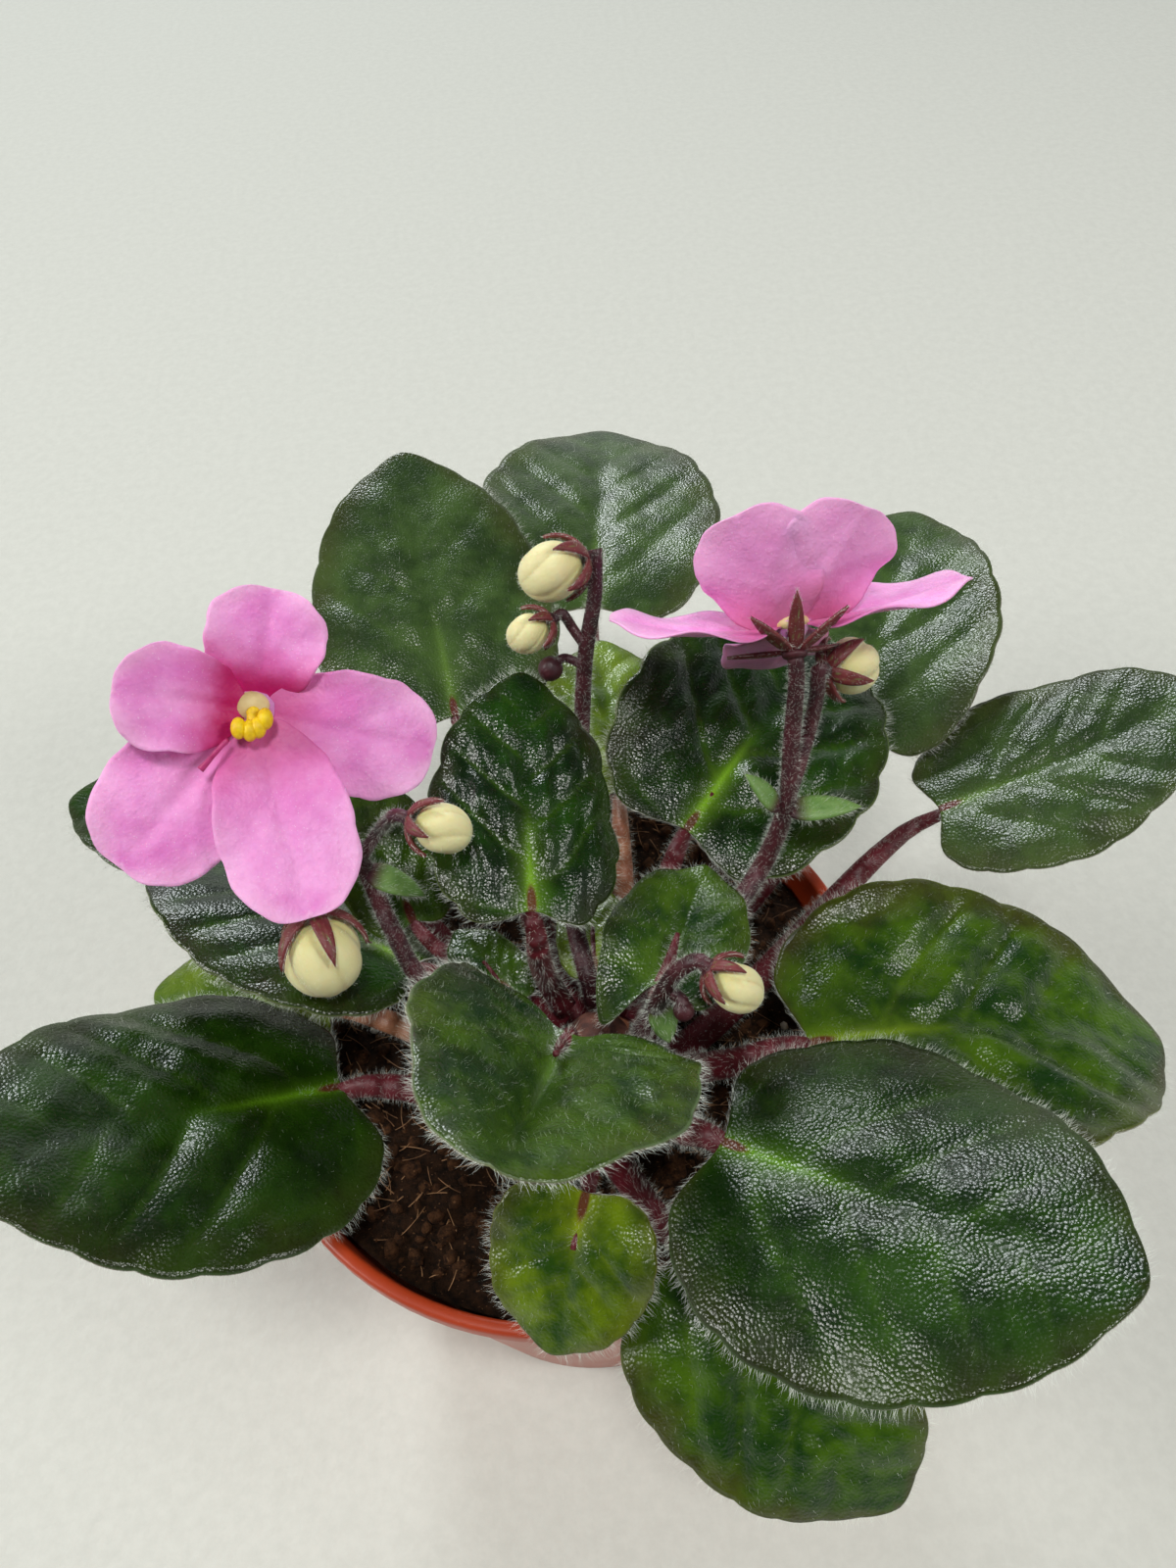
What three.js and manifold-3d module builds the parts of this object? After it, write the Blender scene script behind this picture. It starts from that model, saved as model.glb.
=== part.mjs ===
// A potted african violet: a rosette of hairy heart-shaped leaves on fleshy stalks, two open pink flowers and
// six buds on four hairy flower stalks, rooted in dark potting soil in a small tapered plastic pot.
// Millimetres, +Z up. The origin is the centre of the pot's flat underside and -Y is the front of the plant.
// Bearings and headings are degrees anticlockwise from +X seen from above.

import * as THREE from "three";
import { mergeVertices } from "three/addons/utils/BufferGeometryUtils.js";
import Module from "manifold-3d";

const wasm = await Module();
wasm.setup();

// ---------------------------------------------------------------- driving dimensions

const GAP = 0.3; // clearance between pieces that touch

const POT = {
  height: 76,
  baseRadius: 33,
  rimRadius: 45,
  wall: 1.2,
  lip: 1.8,
  lipHeight: 3.5,
  floor: 1.8,
  holes: 5,
  holeRadius: 3,
  holeRing: 21,
  segments: 32,
};

const SOIL = { level: 69.8, relief: 0.8, rings: 5, segments: 28 };

const CROWN = { x: 5, y: -12, radius: 6.4, topRadius: 4.4, bottom: 62, shoulder: 88, top: 91, segments: 14 };

const LEAF_STALK = { tipRadius: 1.6, sides: 7, steps: 6 };

// Every leaf: where its blade joins its stalk, the way the blade points (heading, pitch, roll), its size,
// how far its tip bends down and its sides turn up, and where its stalk leaves the crown.
const LEAVES = [
  {
    name: "left_front",
    base: [-30, -12, 83],
    turn: [202, 31, 5],
    size: [48, 43],
    bend: -8,
    cup: -14,
    root: [200, 77, 2.1],
  },
  {
    name: "left_inner",
    base: [-18, -1, 94],
    turn: [148, 12, 37],
    size: [40, 33],
    bend: 14,
    cup: -33,
    root: [164, 82.5, 1.9],
  },
  {
    name: "left_old",
    base: [-33, 3, 78.5],
    turn: [165, 6, 4],
    size: [28, 24],
    bend: 21,
    cup: 2,
    root: [166, 73.5, 2],
    pale: true,
  },
  {
    name: "left_back",
    base: [-35, 30, 82],
    turn: [164, 17, 2],
    size: [41, 30],
    bend: 23,
    cup: 10,
    root: [142, 78, 1.9],
  },
  {
    name: "back_left",
    base: [-12, 45, 91],
    turn: [97, 17, 5],
    size: [51, 41],
    bend: 2,
    cup: -7,
    root: [106, 77, 2.1],
  },
  {
    name: "back",
    base: [12, 67, 90],
    turn: [82, 9, 5],
    size: [53, 45],
    bend: 24,
    cup: 15,
    root: [84, 73, 2.1],
  },
  {
    name: "centre_back",
    base: [-1, -3, 107],
    turn: [87, 17, 20],
    size: [32, 26],
    bend: 1,
    cup: -23,
    root: [128, 89, 1.6],
  },
  {
    name: "back_under",
    base: [12, 23, 95],
    turn: [89, 10, 5],
    size: [29, 23],
    bend: 15,
    cup: -5,
    root: [66, 78.5, 1.7],
    pale: true,
  },
  {
    name: "right_back_upper",
    base: [20.4, 13.2, 97.5],
    turn: [49, 9, 17],
    size: [45.5, 39.3],
    bend: 28,
    cup: 21,
    root: [52, 83.5, 1.8],
  },
  {
    name: "back_right",
    base: [50, 34, 88],
    turn: [67, 17, -4],
    size: [48, 38],
    bend: 22,
    cup: 30,
    root: [46, 75.5, 2.1],
  },
  {
    name: "right_back",
    base: [59, 19, 87],
    turn: [4, 20, -4],
    size: [39, 32],
    bend: -10,
    cup: -4,
    root: [12, 74, 2.1],
  },
  {
    name: "right_upper",
    base: [31.7, -17.2, 91],
    turn: [2, 4, -10],
    size: [47.4, 44.3],
    bend: 30,
    cup: 26,
    root: [-16, 80, 2],
  },
  {
    name: "right_front",
    base: [18.5, -30, 95],
    turn: [326, 16, -3],
    size: [45, 43],
    bend: -7,
    cup: -17,
    root: [-46, 77.5, 2.1],
  },
  {
    name: "front_right_low",
    base: [13, -39, 83],
    turn: [299, -8, 28],
    size: [37, 32],
    bend: 38,
    cup: 6,
    root: [-92, 73.5, 2],
  },
  {
    name: "front_old",
    base: [2, -33, 92],
    turn: [245, -34, 0],
    size: [22, 21],
    bend: 14,
    cup: 3,
    root: [-104, 81, 1.4],
    pale: true,
  },
  {
    name: "front_young",
    base: [2, -18, 103.5],
    turn: [255, 47, -15],
    size: [34, 34],
    bend: 5,
    cup: 38,
    lobe: 0.33,
    notch: 0.32,
    root: [-130, 85.5, 1.3],
  },
  {
    name: "young_right",
    base: [14, -10.8, 99.9],
    turn: [66, 5, -1],
    size: [19, 17],
    bend: 24,
    cup: 7,
    root: [20, 89.5, 1.2],
    small: true,
  },
  {
    name: "young_left",
    base: [-5, -7.2, 92.4],
    turn: [124, 14, 2],
    size: [13, 10],
    bend: 18,
    cup: 2,
    root: [172, 86, 1],
    small: true,
  },
  {
    name: "young_back",
    base: [5.5, -2.5, 88.5],
    turn: [85, 11, 7],
    size: [14.6, 10.4],
    bend: 19,
    cup: 5,
    root: [88, 84, 1],
    small: true,
    pale: true,
  },
  {
    name: "young_left_back",
    base: [-18, 5, 95],
    turn: [108, 35, 10],
    size: [22, 16],
    bend: 20,
    cup: 5,
    root: [136, 86, 1.3],
    small: true,
  },
];

// Buds: where the middle of each lies, the way it points, its radius and half its length.
const BUDS = {
  hanging: { centre: [-27.2, -5, 105.5], point: [0.05, -0.6, -0.8], radius: 4.8, half: 5.1 },
  side: { centre: [-10, 3, 118], point: [0.9, -0.3, -0.25], radius: 3, half: 3.5 },
  tall: { centre: [6, 38, 125], point: [-0.95, -0.25, -0.1], radius: 3.9, half: 4.4 },
  tall_small: { centre: [2, 32, 120], point: [-0.9, -0.3, -0.25], radius: 2.6, half: 2.9 },
  behind: { centre: [44.3, 25.4, 113.6], point: [0.77, 0.45, -0.45], radius: 3.8, half: 4.2 },
  curled: { centre: [22.6, -14.8, 103.6], point: [0.75, -0.45, -0.5], radius: 2.9, half: 3.4 },
};

// Sepals behind an open flower start a little way out from the middle of its calyx.
const SEPAL = { length: 6.5, width: 2, thick: 0.8, edge: 0.6, start: 0.9 };

// Open flowers: the middle of the throat, the way the face looks (heading, pitch), its petals with their
// bearing round the face, lift above it, roll, size, bend and cup, and its sepals as bearing and lift.
const FLOWERS = {
  left: {
    centre: [-32, 19, 125],
    face: [288, 47],
    petals: [
      { bearing: 60, lift: 20, roll: 0, size: [14.6, 14.6], bend: 20, cup: 20 },
      { bearing: 150, lift: 20, roll: 0, size: [15, 14.6], bend: 15, cup: 25 },
      { bearing: 210, lift: 10, roll: 0, size: [24, 18], bend: 15, cup: 8 },
      { bearing: 265, lift: 16, roll: 0, size: [26, 17], bend: 2, cup: 8 },
      { bearing: 327, lift: 8, roll: 0, size: [22, 16], bend: 20, cup: 8 },
    ],
    sepals: [
      [105, 20],
      [180, 20],
      [237, 15],
      [298, 15],
      [10, 20],
    ],
    stamens: [-0.6, -1.8],
    style: [-8, -4.6],
  },
  right: {
    centre: [36, 26, 122],
    face: [90, 38],
    petals: [
      { bearing: 52, lift: 55, roll: 25, size: [17.5, 16], bend: 8, cup: 14 },
      { bearing: 137, lift: 49, roll: -30, size: [17, 16], bend: 8, cup: 14 },
      { bearing: -5, lift: -2, roll: 0, size: [23, 15], bend: -24, cup: 10 },
      { bearing: 185, lift: 3, roll: 0, size: [22, 15], bend: -30, cup: 10 },
      { bearing: 272, lift: -10, roll: 0, size: [20, 15], bend: 0, cup: 8 },
    ],
    sepals: [
      [90, 50],
      [46, 28],
      [134, 28],
      [325, 4],
      [215, 4],
    ],
    stamens: [0, -1.6],
    style: [6, -5],
  },
};

const THROAT = { radius: 2.6, depth: 3, foot: 1 };

// Flower stalks: the root of each on the crown (bearing, height), the points its stem passes through on its
// way to a flower or a bud and its thickness at the foot, then its side branches and its bracts.
const FLOWER_STALKS = {
  left: {
    root: [196, 88.5],
    stem: [
      [-4.5, -12.4, 90.5],
      [-10.3, -9.8, 93.5],
      [-16.2, -5.7, 97],
      [-20, 1.4, 102],
      [-23, 8.6, 108.4],
      [-28, 16, 113],
      [-31.6, 20.4, 118],
    ],
    radius: 1.3,
    flower: "left",
    branches: [
      { path: [[-22.4, 7.6, 107.6], [-19, 6.8, 113.5], [-16.6, 5.4, 118]], radius: 0.8, bud: "side" },
      { path: [[-22.6, 7.4, 107.4], [-24.5, 4, 110.6]], radius: 0.9, bud: "hanging" },
    ],
    bracts: [{ at: [-22, 6, 107], turn: [345, -20, 0], size: [8, 3.2] }],
  },
  back: {
    root: [88, 88],
    stem: [
      [4.6, -3.2, 91.5],
      [3.8, 2, 95.5],
      [5, 10, 101],
      [7.3, 22, 108],
      [9.3, 30, 116.5],
      [11.6, 36, 122],
      [12.2, 39, 125.4],
    ],
    radius: 1.3,
    bud: "tall",
    branches: [
      { path: [[9.5, 31, 117.3], [7.4, 33, 120.8]], radius: 0.7, bud: "tall_small" },
      { path: [[9, 29, 115.8], [6.5, 29.5, 117.2], [4.5, 29, 116]], radius: 0.6, knob: 1.7 },
    ],
    bracts: [],
  },
  right: {
    root: [30, 86.5],
    stem: [
      [14, -4.4, 89.4],
      [25, 0.6, 96.2],
      [32.4, 7.8, 106],
      [34.6, 15.5, 112],
    ],
    radius: 1.4,
    flower: "right",
    branches: [{ path: [[32.5, 8.4, 106.6], [36, 14.6, 110], [38.6, 20, 114.4]], radius: 1, bud: "behind" }],
    bracts: [
      { at: [32, 7, 105.5], turn: [150, 40, 0], size: [7, 3] },
      { at: [32.6, 8, 106], turn: [352, 5, 10], size: [9.5, 3.6] },
    ],
  },
  front: {
    root: [-25, 86.5],
    stem: [
      [10.8, -13.8, 93],
      [12.2, -14.2, 97.5],
      [13.2, -14.2, 101.6],
      [15.6, -12.8, 105.4],
    ],
    radius: 1.3,
    bud: "curled",
    branches: [
      { path: [[14, -13.6, 102.8], [15.8, -15, 102.8], [16, -16, 101.6]], radius: 0.8, knob: 1.3 },
    ],
    bracts: [{ at: [13.2, -14, 101], turn: [285, -50, 0], size: [6, 3] }],
  },
};

// ---------------------------------------------------------------- small tools

const rad = THREE.MathUtils.degToRad;

function vector(list) {
  return new THREE.Vector3(list[0], list[1], list[2]);
}

function material(color, roughness) {
  return new THREE.MeshStandardMaterial({ color, roughness, metalness: 0, side: THREE.DoubleSide });
}

const LOOK = {
  pot: material(0xa8431c, 0.45),
  soil: material(0x2b1a10, 0.95),
  crown: material(0x5d2a22, 0.7),
  blade: material(0x27501f, 0.4),
  paleBlade: material(0x5f7d1c, 0.5),
  leafStalk: material(0x6e1b29, 0.55),
  flowerStalk: material(0x45141c, 0.65),
  petal: material(0xd976b4, 0.6),
  bud: material(0xe4dca0, 0.6),
  anther: material(0xe8b908, 0.5),
  pistil: material(0xb52c70, 0.5),
};

// A closed geometry as a solid that can be joined and cut.
function solidOf(geometry) {
  const plain = geometry.index ? geometry.toNonIndexed() : geometry.clone();
  for (const key of Object.keys(plain.attributes)) {
    if (key !== "position") {
      plain.deleteAttribute(key);
    }
  }
  const merged = mergeVertices(plain, 1e-4);
  const vertProperties = merged.attributes.position.array;
  const triVerts = new Uint32Array(merged.index.array);
  return new wasm.Manifold(new wasm.Mesh({ numProp: 3, vertProperties, triVerts }));
}

function geometryOf(solid) {
  const mesh = solid.getMesh();
  const points = new Float32Array(mesh.numVert * 3);
  for (let i = 0; i < mesh.numVert; i += 1) {
    points.set(mesh.vertProperties.subarray(i * mesh.numProp, i * mesh.numProp + 3), i * 3);
  }
  const geometry = new THREE.BufferGeometry();
  geometry.setAttribute("position", new THREE.BufferAttribute(points, 3));
  geometry.setIndex(new THREE.BufferAttribute(mesh.triVerts, 1));
  geometry.computeVertexNormals();
  return geometry;
}

function joined(geometries) {
  return geometries.map(solidOf).reduce((sum, part) => sum.add(part));
}

function closedGeometry(points, triangles) {
  const geometry = new THREE.BufferGeometry();
  geometry.setAttribute("position", new THREE.Float32BufferAttribute(points, 3));
  geometry.setIndex(triangles);
  geometry.computeVertexNormals();
  return geometry;
}

// The three directions of a blade: along it, across it and out of its upper face.
function bladeAxes(heading, pitch, roll) {
  const h = rad(heading);
  const p = rad(pitch);
  const along = new THREE.Vector3(Math.cos(h) * Math.cos(p), Math.sin(h) * Math.cos(p), Math.sin(p));
  const up = new THREE.Vector3(-Math.cos(h) * Math.sin(p), -Math.sin(h) * Math.sin(p), Math.cos(p));
  const across = up.clone().cross(along);
  return rolledAxes(along, across, up, roll);
}

function rolledAxes(along, across, up, roll) {
  const c = Math.cos(rad(roll));
  const s = Math.sin(rad(roll));
  return {
    along,
    across: across.clone().multiplyScalar(c).addScaledVector(up, s),
    up: up.clone().multiplyScalar(c).addScaledVector(across, -s),
  };
}

function placed(geometry, axes, at) {
  const matrix = new THREE.Matrix4().makeBasis(axes.along, axes.across, axes.up);
  matrix.setPosition(at);
  return geometry.applyMatrix4(matrix);
}

// A round rod along a curve, closed at both ends, whose radius is a function of the way along it.
function taperedRod(curve, radiusAt, sides, steps) {
  const frames = curve.computeFrenetFrames(steps, false);
  const points = [];
  const triangles = [];
  for (let i = 0; i <= steps; i += 1) {
    const centre = curve.getPointAt(i / steps);
    const radius = radiusAt(i / steps);
    for (let k = 0; k < sides; k += 1) {
      const angle = (2 * Math.PI * k) / sides;
      const p = centre
        .clone()
        .addScaledVector(frames.normals[i], radius * Math.cos(angle))
        .addScaledVector(frames.binormals[i], radius * Math.sin(angle));
      points.push(p.x, p.y, p.z);
    }
  }
  for (let i = 0; i < steps; i += 1) {
    for (let k = 0; k < sides; k += 1) {
      const a = i * sides + k;
      const b = i * sides + ((k + 1) % sides);
      triangles.push(a, b, a + sides, b, b + sides, a + sides);
    }
  }
  const last = steps * sides;
  for (let k = 1; k < sides - 1; k += 1) {
    triangles.push(0, k + 1, k);
    triangles.push(last, last + k, last + k + 1);
  }
  return closedGeometry(points, triangles);
}

// ---------------------------------------------------------------- blades, petals and sepals

// The half outline of a blade: angle runs from 0 at its base to pi at its tip.
function outlineAt(angle, shape) {
  const { length, width, lobe, notch, belly, point, teeth, toothDepth } = shape;
  const tooth = 1 - toothDepth * (0.5 - 0.5 * Math.cos(2 * teeth * angle)) * Math.sin(angle);
  const u =
    length * (0.5 - lobe / 2 - (0.5 + lobe / 2) * Math.cos(angle) * tooth) +
    length * lobe * Math.exp(-((angle / notch) ** 2)) +
    length * point * Math.exp(-(((Math.PI - angle) / 0.22) ** 2));
  const v = (width / 2) * Math.sin(angle) * (1 + belly * Math.cos(angle)) * tooth;
  return [u, v];
}

// A point of the sheet u along and v across the flat blade, height above its bent and cupped middle surface.
function sheetPoint(u, v, height, shape) {
  const bend = rad(shape.bend) / shape.length || 1e-6;
  const cup = rad(shape.cup) / (shape.width / 2) || 1e-6;
  const side = cup * v;
  const slope = bend * u;
  const across = Math.sin(side) / cup - height * Math.sin(side);
  const rise = (1 - Math.cos(side)) / cup + height * Math.cos(side);
  const x = Math.sin(slope) / bend + rise * Math.sin(slope);
  const z = -(1 - Math.cos(slope)) / bend + rise * Math.cos(slope);
  return [x, across, z];
}

const BLADE = {
  lobe: 0.12,
  notch: 0.32,
  belly: 0.14,
  point: 0.03,
  teeth: 7,
  toothDepth: 0.05,
  wave: 0.7,
  waves: 3,
  groove: 0.6,
  thick: 1.5,
  edge: 0.8,
  rows: 13,
  ranks: 3,
};

// A closed sheet with a pointed base and tip. Both faces have the same rows and ranks of points.
function sheet(settings) {
  const shape = { ...BLADE, ...settings };
  const { length, width, rows, ranks, wave, waves, groove, thick, edge } = shape;
  const points = [];
  const triangles = [];
  const columns = 2 * ranks + 1;
  const faceSize = 2 + (rows - 1) * columns;

  function heightAt(t, v, s) {
    const fade = Math.sin(Math.PI * t);
    const ripple = wave * Math.sin(2 * Math.PI * waves * t + (v > 0 ? 0 : 1.3)) * s * s;
    return (ripple - groove * Math.exp(-((v / (0.08 * width)) ** 2))) * fade;
  }

  for (const face of [1, -1]) {
    for (let i = 0; i <= rows; i += 1) {
      const t = i / rows;
      const ends = i === 0 || i === rows;
      const edgePoint = outlineAt(Math.PI * t, shape);
      const rib = length * (i === rows ? 1 + shape.point : t - 0.1 * Math.sin(Math.PI * t));
      for (let j = ends ? 0 : -ranks; j <= (ends ? 0 : ranks); j += 1) {
        const s = Math.abs(j) / ranks;
        const u = ends ? edgePoint[0] : rib + s * (edgePoint[0] - rib);
        const v = Math.sign(j) * s * edgePoint[1];
        const half = (ends ? edge : thick + (edge - thick) * s * s) / 2;
        points.push(...sheetPoint(u, v, heightAt(t, v, s) + face * half, shape));
      }
    }
  }

  function index(face, i, j) {
    const start = face * faceSize;
    if (i === 0) {
      return start;
    }
    if (i === rows) {
      return start + faceSize - 1;
    }
    return start + 1 + (i - 1) * columns + j + ranks;
  }

  function face(a, b, c) {
    if (a !== b && b !== c && c !== a) {
      triangles.push(a, b, c);
    }
  }

  for (let i = 0; i < rows; i += 1) {
    for (let j = -ranks; j < ranks; j += 1) {
      const slant = j < 0;
      for (const side of [0, 1]) {
        const a = index(side, i, j);
        const b = index(side, i + 1, j);
        const c = index(side, i + 1, j + 1);
        const d = index(side, i, j + 1);
        const first = slant ? [a, b, c] : [a, b, d];
        const second = slant ? [a, c, d] : [b, c, d];
        for (const three of [first, second]) {
          face(...(side === 0 ? three : three.reverse()));
        }
      }
    }
    for (const j of [-ranks, ranks]) {
      const a = index(0, i, j);
      const b = index(0, i + 1, j);
      const c = index(1, i + 1, j);
      const d = index(1, i, j);
      const quad = j > 0 ? [a, b, c, d] : [d, c, b, a];
      face(quad[0], quad[1], quad[2]);
      face(quad[0], quad[2], quad[3]);
    }
  }
  return closedGeometry(points, triangles);
}

// ---------------------------------------------------------------- leaves

function leafBlade(leaf) {
  const [length, width] = leaf.size;
  const settings = { length, width, bend: leaf.bend, cup: leaf.cup };
  if (leaf.lobe) {
    settings.lobe = leaf.lobe;
    settings.notch = leaf.notch;
  }
  if (leaf.small) {
    Object.assign(settings, { rows: 10, ranks: 2, teeth: 5, wave: 0.4, groove: 0.3, thick: 1.1, edge: 0.7 });
  }
  return placed(sheet(settings), bladeAxes(...leaf.turn), vector(leaf.base));
}

function crownPoint(bearing, height, outwards) {
  const rise = Math.max(0, (height - CROWN.bottom) / (CROWN.shoulder - CROWN.bottom));
  const radius = CROWN.radius + (CROWN.topRadius - CROWN.radius) * Math.min(1, rise ** 3) + outwards;
  return new THREE.Vector3(
    CROWN.x + radius * Math.cos(rad(bearing)),
    CROWN.y + radius * Math.sin(rad(bearing)),
    height,
  );
}

function leafStalk(leaf) {
  const [bearing, height, radius] = leaf.root;
  const out = new THREE.Vector3(Math.cos(rad(bearing)), Math.sin(rad(bearing)), 0);
  const base = vector(leaf.base);
  const steepness = base.clone().sub(crownPoint(bearing, height, 0)).normalize().z;
  const start = crownPoint(bearing, height, GAP + 0.2 + 0.7 * radius * Math.max(0, steepness));
  const span = base.clone().sub(start);
  const reach = span.length();
  const straight = span.clone().normalize();
  const arrival = straight.clone().add(bladeAxes(...leaf.turn).along).normalize();
  const end = base.clone().addScaledVector(arrival, -(LEAF_STALK.tipRadius * 0.5 + GAP + 0.1));
  const leave = out.clone().multiplyScalar(0.6).addScaledVector(straight, 0.6).normalize();
  const curve = new THREE.CubicBezierCurve3(
    start,
    start.clone().addScaledVector(leave, 0.35 * reach),
    end.clone().addScaledVector(arrival, -0.3 * reach),
    end,
  );
  const tipRadius = Math.min(radius, LEAF_STALK.tipRadius);
  const radiusAt = (t) => radius + (tipRadius - radius) * t * t;
  return taperedRod(curve, radiusAt, LEAF_STALK.sides, LEAF_STALK.steps);
}

// ---------------------------------------------------------------- buds

function turnedTo(direction) {
  return new THREE.Quaternion().setFromUnitVectors(new THREE.Vector3(0, 0, 1), direction);
}

// A closed bud: an egg with five shallow folds that meet at its tip.
function budGeometry(bud) {
  const egg = new THREE.SphereGeometry(1, 10, 7).rotateX(Math.PI / 2);
  const position = egg.attributes.position;
  for (let i = 0; i < position.count; i += 1) {
    const p = new THREE.Vector3().fromBufferAttribute(position, i);
    const radius = bud.radius * (1 + 0.05 * Math.cos(5 * Math.atan2(p.y, p.x)));
    position.setXYZ(i, p.x * radius, p.y * radius, p.z * bud.half);
  }
  egg.applyQuaternion(turnedTo(vector(bud.point).normalize()));
  return geometryOf(solidOf(egg.translate(...bud.centre)));
}

// The end of a bud's stalk, just behind the bud.
function budFoot(bud) {
  const toward = vector(bud.point).normalize();
  return vector(bud.centre).addScaledVector(toward, -(bud.half + SEPAL.thick / 2 + 1.6 * GAP));
}

function sepal(length, width, bend) {
  const { thick, edge } = SEPAL;
  const plain = { lobe: 0, notch: 0.3, belly: 0.3, point: 0.08, toothDepth: 0, wave: 0, groove: 0, cup: -10 };
  return sheet({ ...plain, length, width, bend, thick, edge, rows: 3, ranks: 1 });
}

// The flat end of a stalk, where the sepals grow from it.
function stalkHead(at, toward, radius, half) {
  const head = new THREE.SphereGeometry(1, 8, 5).rotateX(Math.PI / 2).scale(radius, radius, half);
  return head.applyQuaternion(turnedTo(toward)).translate(at.x, at.y, at.z);
}

// Five narrow sepals that hug a bud from the end of its stalk.
function budSepals(bud) {
  const toward = vector(bud.point).normalize();
  const turn = turnedTo(toward);
  const up = toward.clone().negate();
  const hug = bud.radius * 1.03 + GAP + SEPAL.thick / 2;
  const length = bud.radius * 1.75;
  const width = Math.min(SEPAL.width, bud.radius * 0.55);
  const sepals = [0, 1, 2, 3, 4].map((k) => {
    const angle = (2 * Math.PI * k) / 5;
    const along = new THREE.Vector3(Math.cos(angle), Math.sin(angle), 0).applyQuaternion(turn);
    const axes = { along, across: up.clone().cross(along), up };
    return placed(sepal(length, width, THREE.MathUtils.radToDeg(length / hug)), axes, budFoot(bud));
  });
  return [stalkHead(budFoot(bud), toward, 1.2, 0.55), ...sepals];
}

// ---------------------------------------------------------------- open flowers

function flowerAxes(flower) {
  const face = bladeAxes(...flower.face, 0).along;
  const x = new THREE.Vector3(0, 0, 1).cross(face).normalize();
  return { x, y: face.clone().cross(x), face };
}

function onFace(flower, x, y, height) {
  const axes = flowerAxes(flower);
  return vector(flower.centre)
    .addScaledVector(axes.x, x)
    .addScaledVector(axes.y, y)
    .addScaledVector(axes.face, height);
}

// The directions of a petal or sepal that lies at a bearing round the face and rises by a lift above it.
function petalAxes(flower, bearing, lift, roll) {
  const { x, y, face } = flowerAxes(flower);
  const out = x.clone().multiplyScalar(Math.cos(rad(bearing))).addScaledVector(y, Math.sin(rad(bearing)));
  const along = out.clone().multiplyScalar(Math.cos(rad(lift))).addScaledVector(face, Math.sin(rad(lift)));
  const up = face.clone().multiplyScalar(Math.cos(rad(lift))).addScaledVector(out, -Math.sin(rad(lift)));
  return { out, ...rolledAxes(along, up.clone().cross(along), up, roll) };
}

function petal(flower, { bearing, lift, roll, size, bend, cup }) {
  const [length, width] = size;
  const plain = { lobe: 0, notch: 0.3, belly: -0.28, point: 0, teeth: 3, toothDepth: 0.04 };
  const fine = { waves: 1.5, wave: 0.6, groove: 0.2, thick: 0.9, edge: 0.6, rows: 6, ranks: 2 };
  const axes = petalAxes(flower, bearing, lift, roll);
  const foot = vector(flower.centre).addScaledVector(axes.out, 1);
  return placed(sheet({ ...plain, ...fine, length, width, bend, cup }), axes, foot);
}

// Five petals joined by the short tube of the throat.
function corolla(flower) {
  const { radius, depth, foot } = THROAT;
  const tube = new THREE.CylinderGeometry(radius, foot, depth, 14).rotateX(Math.PI / 2);
  tube.applyQuaternion(turnedTo(flowerAxes(flower).face));
  tube.translate(...onFace(flower, 0, 0, 0.4 - depth / 2).toArray());
  return geometryOf(joined([tube, ...flower.petals.map((shape) => petal(flower, shape))]));
}

// Two pairs of plump anther lobes on a short column of filaments in the throat.
function stamens(flower) {
  const [x, y] = flower.stamens;
  const { face } = flowerAxes(flower);
  const middle = new THREE.LineCurve3(onFace(flower, 0, 0, 1.2), onFace(flower, x, y, 3));
  const column = taperedRod(middle, () => 0.8, 6, 1);
  const lobes = [-1, 1].flatMap((side) =>
    [-1, 1].map((pair) => {
      const lobe = new THREE.SphereGeometry(1, 7, 5).scale(0.95, 1.35, 1.2).applyQuaternion(turnedTo(face));
      const at = onFace(flower, x + side * 1.1 + pair * 0.55, y + side * pair * 0.35, 3.4);
      return lobe.translate(at.x, at.y, at.z);
    }),
  );
  return geometryOf(joined([column, ...lobes]));
}

function pistil(flower) {
  const [x, y] = flower.style;
  const start = onFace(flower, x * 0.5, y * 0.5, 3);
  const end = onFace(flower, x, y, 4.4);
  const middle = onFace(flower, x * 0.7, y * 0.7, 4);
  const curve = new THREE.QuadraticBezierCurve3(start, middle, end);
  return taperedRod(curve, (t) => 0.5 + 0.15 * t ** 4, 6, 4);
}

// ---------------------------------------------------------------- flower stalks

function calyxMiddle(flower) {
  return onFace(flower, 0, 0, -THROAT.depth - 0.35);
}

function calyx(flower) {
  const { face } = flowerAxes(flower);
  const head = stalkHead(calyxMiddle(flower).addScaledVector(face, -0.4), face, 1.7, 0.85);
  const sepals = flower.sepals.map(([bearing, lift]) => {
    const axes = petalAxes(flower, bearing, lift, 0);
    const start = calyxMiddle(flower).addScaledVector(axes.out, SEPAL.start);
    return placed(sepal(SEPAL.length, SEPAL.width, 0), axes, start);
  });
  return [head, ...sepals];
}

function smoothRod(points, radiusAt, sides, steps) {
  return taperedRod(new THREE.CatmullRomCurve3(points, false, "centripetal"), radiusAt, sides, steps);
}

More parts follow.
